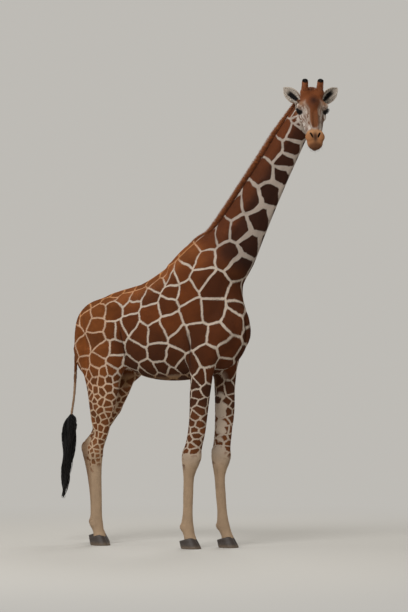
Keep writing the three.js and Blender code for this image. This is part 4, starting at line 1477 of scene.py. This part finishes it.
def locks(root, way, out, length, width, thick, bend, rings):
    """Tapering solid locks, three-sided and closed. Each starts at its root, runs its way and is
    drawn aside by its bend times the square of the share along. Gives points, quads, triangles,
    the number of the lock and the share along it for each point, and a flat place for its UV."""
    count = len(root)
    across = unit(np.cross(out, way))
    out = np.cross(way, across)
    s = np.linspace(0, 1, rings + 1)
    along = way[:, None] * (length[:, None] * s)[..., None] + bend[:, None] * (s**2)[:, None]
    centre = root[:, None] + along
    taper = 1 - s[:-1] ** 1.5
    corners = np.array([[-1.0, 0.0], [1.0, 0.0], [0.0, 1.0]])
    wide = (width[:, None] * taper)[..., None, None] * corners[:, 0, None]
    high = (thick[:, None] * taper)[..., None, None] * corners[:, 1, None]
    body = centre[:, :-1, None] + across[:, None, None] * wide + out[:, None, None] * high
    at = np.concatenate([body.reshape(count, -1, 3), centre[:, -1:]], 1)
    each = at.shape[1]
    a = np.arange(3)
    b = (a + 1) % 3
    last = 3 * rings - 3
    walls = [np.stack([r + a, r + b, r + 3 + b, r + 3 + a], 1) for r in range(0, last, 3)]
    ends = np.concatenate([[[2, 1, 0]], np.stack([last + a, last + b, a * 0 + last + 3], 1)])
    start = (np.arange(count) * each)[:, None, None]
    walls = (np.concatenate(walls)[None] + start).reshape(-1, 4) if walls else np.zeros((0, 4), int)
    ends = (ends[None] + start).reshape(-1, 3)
    share = np.append(np.repeat(s[:-1], 3), 1.0)
    flat_wide = np.append(np.tile([-0.5, 0.5, 0.0], rings) * (1 - 0.5 * share[:-1]), 0.0)
    flat_high = share * 0.85 + np.append(np.tile([0, 0, 0.15], rings), 0.15) - 0.5
    flat = np.stack([flat_wide, flat_high], 1)
    whose = np.repeat(np.arange(count), each)
    return at.reshape(-1, 3), walls, ends, whose, np.tile(share, count), np.tile(flat, (count, 1))


def gathered(parts):
    """Several sets of locks as one."""
    groups = [list(group) for group in zip(*parts)]
    points_before = np.cumsum([0, *(len(at) for at in groups[0])])
    locks_before = np.cumsum([0, *(whose.max() + 1 for whose in groups[3])])
    for k, before in ((1, points_before), (2, points_before), (3, locks_before)):
        groups[k] = [group + first for group, first in zip(groups[k], before)]
    return tuple(np.concatenate(group) for group in groups)


def hair(name, made, chart, smooth=True):
    """A piece made of locks, with its unwrapped sheet: each lock a small patch at its chart place."""
    at, walls, ends, whose, share, flat = made
    piece = mesh_from(name, at, *[group for group in (walls, ends) if len(group)], smooth=smooth)
    spot_at = 0.004 + 0.992 * chart.clip(0, 1)
    uv = spot_at[whose] + flat * PATCH
    index = np.empty(len(piece.data.loops), np.int32)
    piece.data.loops.foreach_get("vertex_index", index)
    layer = piece.data.uv_layers.new(name="OFBake")
    layer.data.foreach_set("uv", uv[index].astype(np.float32).ravel())
    give(piece.data, "share", share)
    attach(piece, "root")
    return piece


def banded(*colours):
    """A material for hair whose colour runs through the given ones from root to tip, each lock a
    little different."""

    def build(tree, shader):
        share = maths(tree, "MULTIPLY_ADD", noise(tree, 70.0), 0.5, read(tree, "share", "Fac"))
        band = 1 / (len(colours) - 1)
        colour = colours[0]
        for k, shade in enumerate(colours[1:]):
            start = 0.25 + k * band
            colour = mix(tree, step(tree, share, start, start + band, "LINEAR"), colour, shade)
        link(tree, shader, Base_Color=colour, Roughness=0.65)
        link(tree, shader, Sheen_Weight=0.02, Specular_IOR_Level=0.2)

    return build


rng = np.random.default_rng(31)
count = MANE["locks"]
share = (np.arange(count) + rng.uniform(0, 1, count)) / count
t = MANE["from"] + share * (MANE["to"] - MANE["from"])
rise = MANE["height"] * ease(share, -0.03, 0.24) * np.minimum(1, 0.45 + 2.2 * (1 - share))
middle = neck_bar.section(t)[0]
# The nape is found by stepping out from the neck's middle until the form turns positive.
nape = np.full(count, -20.0)
for _ in range(40):
    d = flesh(neck_frame.world(np.stack([t, middle + nape, 0 * t], 1)))
    nape = nape + np.minimum(d, 0) * 0.8
aside = rng.normal(0, 12, count).clip(-24, 24)
root = neck_frame.world(np.stack([t, middle + nape + 10 + aside**2 / 60, aside], 1))
lean = [rng.normal(-0.22, 0.08, count), -np.ones(count), aside / 70 + rng.normal(0, 0.05, count)]
way = unit(np.stack(lean, 1) @ neck_frame.axes)
length = (rise * rng.uniform(0.9, 1.02, count) * (1 - 0.2 * (aside / 20) ** 2) + 12).clip(20, None)
out = unit(np.cross(way, rng.normal(0, 1, (count, 3))))
bend = rng.normal(0, 2, (count, 3)) + np.array([-0.06, 0, -0.05]) * length[:, None]
made = locks(root, way, out, length, rng.uniform(3.2, 4.6, count), rng.uniform(2.4, 3.4, count), bend, 2)
mane = hair("mane", made, np.stack([0.5 + aside / 44, share], 1))
mane.data.materials.append(material("mane_hair", banded("#34170a", "#62300f", "#7d4217", "#94592c")))
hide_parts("mane")

# --- Tail switch ------------------------------------------------------------------------------
# Long coarse black hair that hangs from the end of the tail, a spindle 140 mm thick and over
# 800 mm long, with a few loose ends, round a dark core that closes the gaps between them.
SWITCH_ROWS = [  # x, z, radius
    (-1481, 1250, 17), (-1488, 1205, 56), (-1497, 1130, 72), (-1508, 1020, 72), (-1520, 880, 64),
    (-1533, 760, 54), (-1546, 650, 40), (-1560, 550, 28), (-1572, 470, 17), (-1578, 425, 6),
]
SWITCH_LOCKS = 640
SWITCH_ROOTS = 0.62  # the share of the switch along which locks start
curve = strung(SWITCH_ROWS, 120)
count, rings = SWITCH_LOCKS, 7
start = rng.uniform(0, 1, count) ** 1.6 * SWITCH_ROOTS
end = np.minimum(start + rng.uniform(0.24, 0.5, count), 1.0)
turned = rng.uniform(0, 2 * np.pi, count)
depth = rng.uniform(0.35, 1.0, count) ** 0.5
even_steps = np.linspace(0, 1, rings + 1)
s = start[:, None] + (end - start)[:, None] * even_steps
x, z, radius = (np.interp(s, np.linspace(0, 1, len(curve)), column) for column in curve.T)
past_root = s - start[:, None]
grow = ease(past_root, -0.05, 0.12)
loose = 1 + 0.35 * (rng.uniform(0, 1, count) > 0.93)[:, None] * past_root
off = radius * 0.9 * depth[:, None] * grow * loose
angle = turned[:, None] + 0.5 * past_root + 0.05 * np.sin(s * 40 + turned[:, None] * 9)
sway = 9 * grow * np.sin(s * 17 + (turned * 1.7)[:, None])
path = np.stack([x + off * np.cos(angle) + sway, off * np.sin(angle) + 0.7 * sway, z], -1)
span = path[:, -1] - path[:, 0]
at, walls, ends, whose, share, flat = locks(
    path[:, 0], unit(span), np.stack([np.cos(turned), np.sin(turned), 0 * turned], 1),
    np.linalg.norm(span, axis=1), rng.uniform(4.5, 7, count), rng.uniform(3, 5, count),
    np.zeros((count, 3)), rings)
# The straight locks are moved onto their winding paths.
straight = path[:, :1] + span[:, None] * even_steps[:, None]
shift = np.concatenate([np.repeat((path - straight)[:, :-1], 3, axis=1), np.zeros((count, 1, 3))], 1)
made = (at + shift.reshape(-1, 3), walls, ends, whose, share, flat)
switch = hair("tail_switch", made, np.stack([turned / (2 * np.pi), start / SWITCH_ROOTS], 1))
switch.data.materials.append(material("switch_hair", banded("#070606", "#0c0a09", "#1c1612")))
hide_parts("tail_switch")


def dull_black(tree, shader):
    """Nearly black, with no shine."""
    link(tree, shader, Base_Color=(0.003, 0.0025, 0.002, 1), Roughness=0.9)


x, z, radius = curve[6:-8][::-1].T  # from the switch's lower end up to its root
narrowed = radius * 0.72 * ease(np.arange(len(x))[::-1], 0, 12)
middles_up = np.stack([x, 0 * x, z], 1)[:, None]
core_rings = middles_up + narrowed[:, None, None] * spokes(turns(16), np.eye(3))
core = mesh_from("tail_switch_core", *tube(core_rings))
core.data.materials.append(material("switch_core", dull_black))
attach(core, "root")

# --- Short coat -------------------------------------------------------------------------------
# Short flat hair in tufts 6 to 17 mm long that lie back and down along the body, shortest on the
# face and the feet, longer where they break the outline: brisket, belly, jaw, backs of the legs.
TUFTS = 42000  # in each region
LEG_SHEET = (60, 1600)  # the heights that a leg's sheet covers
NECK_SHEET = (-250, 1800)
SHOULDER = -420  # where the trunk's fore and hind regions meet


def lie(p, at):
    """Which way the hair lies: back and down the trunk, down neck and legs, up the face."""
    way = layered(
        p.count, (-0.86, 0.0, -0.5),
        ((0.25, 0.0, -1.0), ease(p.x, 200, 460) * (1 - p.neck)),
        (-neck_frame.axes[0], p.neck),
        ((-0.12, 0.0, -1.0), ease(p.z, 1900, 1600) * ease(p.side, 40, 140)),
        ((-0.05, 0.0, -1.0), np.maximum(ease(p.z, 1500, 1300), ease(p.x, -1310, -1350))),
        (-head_frame.axes[0] + 0.25 * head_frame.axes[1], p.head),
    )
    for ear in ears.values():
        a, b, c = ear.local(at).T
        on_ear = (a > 25) & (a < EAR["length"] + 12) & (np.abs(b) < 75) & (np.abs(c) < 60)
        way[on_ear] = ear.axes[0]
    return way


def coat_size(p):
    """Length, half width and lift of a tuft, in millimetres."""
    length = layered(
        p.count, 17.0,
        (15.0, p.neck),
        (13.0, ease(p.z, 1700, 1300)),
        (9.5, ease(p.z, 500, 150)),
        (8.0, p.head),
        (6.5, p.head * ease(p.along_head, 480, 560)),
    )
    wide = length * 0.125
    lift = length * 0.17 + 0.7
    brisket = ease(p.x, 330, 470) * ease(p.z, 1700, 1800) * (1 - ease(p.up_neck, 0, 300))
    belly = ease(p.z, 1720, 1640) * ease(p.side, 190, 110) * ease(p.z, 1480, 1540)
    jaw = p.head * ease(p.up_head, -100, -135) * ease(p.along_head, 400, 300)
    fetlock = ease(np.abs(p.z - 190), 60, 20) * ease(p.behind, 0.2, 0.8)
    back_of_leg = ease(p.z, 1750, 1500) * ease(p.z, 300, 600) * ease(p.behind, 0.5, 0.95)
    shaggy = np.clip(brisket + belly + jaw + fetlock + back_of_leg, 0, 1)
    return length * (1 + 0.6 * shaggy), wide * (1 + 0.2 * shaggy), lift * (1 + 1.3 * shaggy)


def round_share(a, b):
    """The angle of (a, b) as a share of a full turn, 0.5 along a."""
    return np.arctan2(b, a) / (2 * np.pi) + 0.5


def chart_legs(at, kind):
    """Two legs side by side on one sheet: the angle round each, and the height."""
    out = np.zeros((len(at), 2))
    low, high = LEG_SHEET
    for k, side in enumerate(SIDES):
        x, y, _, _ = legs[f"{kind}_leg_{side}"].section(at[:, 2].clip(*LEG_REACH))
        turn = round_share(at[:, 0] - x, at[:, 1] - y)
        mine = np.sign(at[:, 1]) == np.sign(y)
        out[mine] = np.stack([(turn + k) / 2, (at[:, 2] - low) / (high - low)], 1)[mine]
    return out


def chart_trunk(at, first, last):
    """One side of the trunk between two places along it: the distance, and the angle round."""
    turn = np.arctan2(np.abs(at[:, 1]), 2050 - at[:, 2]) / np.pi
    return np.stack([(at[:, 0] - first) / (last - first), turn], 1)


def chart_neck(at):
    """The neck: the angle round it from nape to throat on each side, and the height up it."""
    t, a, b = neck_frame.local(at).T
    return np.stack([round_share(a, b), (t - NECK_SHEET[0]) / (NECK_SHEET[1] - NECK_SHEET[0])], 1)


def chart_head(at):
    """Head and ears: the skull on the lower three quarters, the two ears side by side above."""
    t, u, v = head_frame.local(at).T
    out = np.stack([round_share(u + 20, v), (t + 110) / 820 * 0.74], 1)
    for k, ear in enumerate(ears.values()):
        a, b, c = ear.local(at).T
        half, cup = ear_shape(np.clip(a / EAR["length"], 0, 1))
        over = c + cup * (1 - np.clip(b / half, -1, 1) ** 2)
        on_ear = (a > 30) & (a < EAR["length"] + 12) & (np.abs(b) < 75) & (np.abs(over) < 22)
        across = (b / 130 + 0.5) / 4 + 0.25 * (over > 3) + 0.5 * k
        out[on_ear] = np.stack([across, 0.78 + 0.2 * a / 215], 1)[on_ear]
    return out


normals = np.empty(len(points) * 3, np.float32)
mesh.vertices.foreach_get("normal", normals)
normals = normals.reshape(-1, 3)
corners = np.concatenate([quads[:, [0, 1, 2]], quads[:, [0, 2, 3]], triangles])
quad_numbers = np.arange(len(quads))
face_of = np.concatenate([quad_numbers, quad_numbers, len(quads) + np.arange(len(triangles))])
middle = points[corners].mean(1)
a, b, c = (points[corners[:, k]] for k in range(3))
area = np.linalg.norm(np.cross(b - a, c - a), axis=1) / 2
p = places(middle)
length, wide, _ = coat_size(p)
wanted = area / (length * wide)  # how many tufts a triangle asks for
is_head = (from_skull(middle) < HEAD_REACH) & ((p.head > 0.5) | (p.up_head > -120))
is_neck = ~is_head & (p.up_neck > -40) & (p.z > 2000) & (p.x > 150)
is_leg = ~is_head & ~is_neck & (p.z < 1560)
is_trunk = ~is_head & ~is_neck & ~is_leg
ahead, left = p.x > SHOULDER, p.y > 0
regions = {
    "coat_head": (is_head, chart_head),
    "coat_neck": (is_neck, chart_neck),
    "coat_fore_legs": (is_leg & ahead, chart_legs, "fore"),
    "coat_hind_legs": (is_leg & ~ahead, chart_legs, "hind"),
    "coat_fore_left": (is_trunk & ahead & left, chart_trunk, SHOULDER, 560),
    "coat_fore_right": (is_trunk & ahead & ~left, chart_trunk, SHOULDER, 560),
    "coat_hind_left": (is_trunk & ~ahead & left, chart_trunk, -1460, SHOULDER),
    "coat_hind_right": (is_trunk & ~ahead & ~left, chart_trunk, -1460, SHOULDER),
}


def short_coat(tree, shader):
    """One tuft: the colour found near its middle, a little darker at the root."""
    colour = tint(tree, shader, read(tree, "inside", "Fac"), read(tree, "tone", "Fac"))
    own = maths(tree, "MULTIPLY_ADD", read(tree, "share", "Fac"), 0.16, read(tree, "own", "Fac"))
    link(tree, shader, Base_Color=scaled(tree, colour, own))


short_hair_tufts = material("short_hair_tufts", short_coat)
rng = np.random.default_rng(77)
for region, (mine, chart, *covers) in regions.items():
    mine = np.flatnonzero(mine)
    total = np.cumsum(wanted[mine])
    steps = (np.arange(TUFTS) + rng.uniform(0, 1, TUFTS)) / TUFTS * total[-1]
    chosen = mine[np.searchsorted(total, steps).clip(0, len(mine) - 1)]
    a, b = np.sqrt(rng.uniform(0, 1, TUFTS)), rng.uniform(0, 1, TUFTS)
    shares = np.stack([1 - a, a * (1 - b), a * b], 1)[..., None]
    root = (points[corners[chosen]] * shares).sum(1)
    out = unit((normals[corners[chosen]] * shares).sum(1))
    p = places(root)
    way = lie(p, root) + rng.normal(0, 0.13, (TUFTS, 3))
    way = unit(way - out * (way * out).sum(1)[:, None] + 1e-6)
    length, wide, lift = coat_size(p)
    length = length * rng.uniform(0.75, 1.2, TUFTS)
    seen = root + way * length[:, None] * 0.4  # the place whose colour the tuft takes
    patch, line, show, streaks = colours_at(seen, p)
    past, tone = tones_near(seen, close_seeds[face_of[chosen]])
    past = past - line_width(p) + rng.normal(0, 0.9, TUFTS)
    inside = ease(past, -1.2, 1.2) * np.clip(5 * show - 4 * tone, 0, 1)
    own = rng.uniform(0.82, 1.06, TUFTS)
    climb = unit(way + out * (lift / length)[:, None])
    bend = -out * (lift * 0.35)[:, None]
    made = locks(root - out * 0.4, climb, out, length, wide, wide * 0.55, bend, 1)
    tufts = hair(region, made, chart(root, *covers), smooth=False)
    whose = made[3]
    give(tufts.data, "patch_colour", rgba(patch)[whose])
    give(tufts.data, "line_colour", rgba(line)[whose])
    give(tufts.data, "streaks", stretched(p)[whose])
    for key, values in (("streaked", streaks), ("inside", inside), ("tone", tone), ("own", own)):
        give(tufts.data, key, values[whose])
    tufts.data.materials.append(short_hair_tufts)

# --- Lashes, whiskers and the hair of ears and horns -------------------------------------------
# Long black lashes on both lids, thin whiskers on lips and chin, pale hair along the rims of the
# ears, and upright hair on the horns that is black at their tips.
WHISKERS = 90
FRINGE = 760  # hairs along each edge of an ear
rng = np.random.default_rng(53)


def strewn(*shape):
    """Random numbers between -1 and 1."""
    return rng.uniform(-1, 1, shape)


def strands(root, way, out, length, width, thick, bend, rings):
    """Locks that share one width and one way out."""
    count = len(root)
    return locks(root, way, np.broadcast_to(out, (count, 3)), length, np.full(count, width),
                 np.full(count, thick), bend, rings)


made, charts = [], []
long, high = OPENING
for k, eye_frame in enumerate(eye_frames.values()):
    for lid, count, longest, sag in ((1, 150, 30, -9), (-1, 70, 13, 5)):
        x = strewn(count) * (long - 3)
        y = lid * (np.sqrt(LID_ROUND**2 - x**2) - LID_ROUND + high + 1.2)
        out = np.sqrt(((EYE_RADIUS + LID) ** 2 - x**2 - y**2).clip(9))
        way = [0.5 * x / long + 0.08 * strewn(count), 0.12 * lid + 0.1 * strewn(count), np.ones(count)]
        way = unit(np.stack(way, 1) @ eye_frame.axes)
        length = longest * (0.75 + 0.25 * rng.uniform(0, 1, count)) * (1 - 0.35 * (x / long) ** 2)
        root = eye_frame.world(np.stack([x, y, out - 2], 1))
        bend = sag * eye_frame.axes[1] + 1.5 * strewn(count, 3)
        made.append(strands(root, way, eye_frame.axes[1], length, 0.8, 0.8, bend, 3))
        chart_high = 0.3 + 0.2 * lid + strewn(count) * 0.1
        charts.append(np.stack([0.25 + 0.5 * k + x / long * 0.2, chart_high], 1))
lips = np.flatnonzero((place.along_head > 585) & (place.up_head < -30) & (place.head > 0.9))
lips = lips[rng.integers(0, len(lips), WHISKERS)]
out = unit(normals[lips])
way = unit(out + 0.5 * head_frame.axes[0] - 0.3 * head_frame.axes[1] + 0.2 * strewn(WHISKERS, 3))
length = rng.uniform(14, 34, WHISKERS)
bend = np.array([0, 0, -3.0]) + strewn(WHISKERS, 3) * 2
made.append(strands(points[lips], way, out, length, 0.45, 0.45, bend, 3))
charts.append(np.stack([place.along_head[lips] / 700, place.across_head[lips] / 200 + 0.5], 1))
lashes = hair("lashes_and_whiskers", gathered(made), np.concatenate(charts))
lashes.data.materials.append(material("lash_hair", banded("#080605", "#0d0a08")))

made, charts = [], []
for k, ear in enumerate(ears.values()):
    for edge in (-1, 1):
        share = rng.uniform(0.08, 0.98, FRINGE)
        half, cup = ear_shape(share)
        x = edge * rng.uniform(0.5, 1.0, FRINGE) ** 0.6
        root = ear.world(np.stack([share * EAR["length"], x * half, 6 - cup * (1 - x**2)], 1))
        way = [middle + spread * strewn(FRINGE)
               for middle, spread in ((0.8, 0.2), (-0.55 * edge, 0.25), (0.35, 0.15))]
        way = unit(np.stack(way, 1) @ ear.axes)
        length = rng.uniform(14, 30, FRINGE) * (1 - 0.5 * share**3)
        made.append(strands(root, way, ear.axes[2], length, 1.0, 0.8, strewn(FRINGE, 3) * 2.5, 2))
        charts.append(np.stack([0.25 + 0.5 * k + edge * (0.05 + 0.1 * np.abs(x)), share], 1))
fringe = hair("ear_fringes", gathered(made), np.concatenate(charts))
fringe.data.materials.append(material("ear_hair", banded("#6d6156", "#b9aea1", "#c8beb2")))

HORN_HAIR = {  # lowest and highest root, hairs on each horn, how far they spread, rings, colours
    "brown": (2, 120, 2800, 0.14, 1, ("#5a2f14", "#8a4c20")),
    "black": (114, 128, 1200, 0.3, 2, ("#0b0807", "#120d0a")),
}
for shade, (low, top, count, spread, rings, colours) in HORN_HAIR.items():
    made, charts = [], []
    for k, (foot, axes) in enumerate(horns.values()):
        height = low + (top - low) * rng.uniform(0, 1, count)
        turn = rng.uniform(0, 2 * np.pi, count)
        outward = spokes(turn, axes)
        radius = np.interp(height, *np.array(HORN_ROWS).T) - 1
        root = foot + height[:, None] * axes[2] + radius[:, None] * outward
        way = unit(axes[2] + spread * outward + 0.12 * strewn(count, 3))
        length = 10 * rng.uniform(0.6, 1.0, count)
        made.append(strands(root, way, outward, length, 1.1, 0.8, strewn(count, 3) * 1.2, rings))
        charts.append(np.stack([(turn / (2 * np.pi) + k) / 2, height / HORN["length"]], 1))
    chart = np.concatenate(charts)
    tufts = hair(f"ossicone_hair_{shade}", gathered(made), chart, smooth=rings > 1)
    tufts.data.materials.append(material(f"horn_hair_{shade}", banded(*colours)))

# --- Floor and light --------------------------------------------------------------------------
# A wide pale floor that fades into an even pale surround, and soft light from high on the side
# that is seen, like a bright overcast sky, with weaker lamps behind.
SURROUND = (*linear("#c9c6c0"), 1)
GLOW = 0.88
FLOOR_REACH = 80.0
FADE = (2.0, 8.5)  # metres from the middle over which the floor turns into the surround
LAMPS = {  # where each stands, its width and its power
    "key": ((1.5, -8, 8.5), 4.0, 700),
    "fill": ((-7, -4, 4), 5.0, 120),
    "rim": ((-3, 7, 7), 4.0, 260),
}
LIT_PLACE = (0, 0, 2.2)


def pale_floor(tree, shader):
    """Matt pale paint that fades into the surround with distance."""
    place = add(tree, "TexCoord").outputs["Object"]
    away = add(tree, "VectorMath", {"operation": "LENGTH"}, i0=place).outputs["Value"]
    link(tree, shader, Base_Color=(*linear("#b9b6b0"), 1), Roughness=0.9)
    glow = add(tree, "Emission", None, Color=SURROUND, Strength=GLOW)
    faded = add(tree, "MixShader", None, i0=step(tree, away, *FADE), i1=shader, i2=glow)
    output = next(node for node in tree.nodes if node.type == "OUTPUT_MATERIAL")
    link(tree, output, Surface=faded)


floor_mesh = bpy.data.meshes.new("floor")
floor_corners = [(x * FLOOR_REACH, y * FLOOR_REACH, 0) for x, y in ((-1, -1), (1, -1), (1, 1), (-1, 1))]
floor_mesh.from_pydata(floor_corners, [], [(0, 1, 2, 3)])
floor = bpy.data.objects.new("floor", floor_mesh)
bpy.context.scene.collection.objects.link(floor)
floor_mesh.materials.append(material("pale_floor", pale_floor))
world = bpy.data.worlds.new("world")
bpy.context.scene.world = world
world.use_nodes = True
link(world.node_tree, world.node_tree.nodes["Background"], Color=SURROUND, Strength=GLOW)
for name, (stands, wide, watts) in LAMPS.items():
    light = bpy.data.lights.new(name, "AREA")
    light.size = wide
    light.energy = watts
    lamp = bpy.data.objects.new(name, light)
    lamp.location = stands
    lamp.rotation_euler = (Vector(LIT_PLACE) - Vector(stands)).to_track_quat("-Z", "Y").to_euler()
    bpy.context.scene.collection.objects.link(lamp)
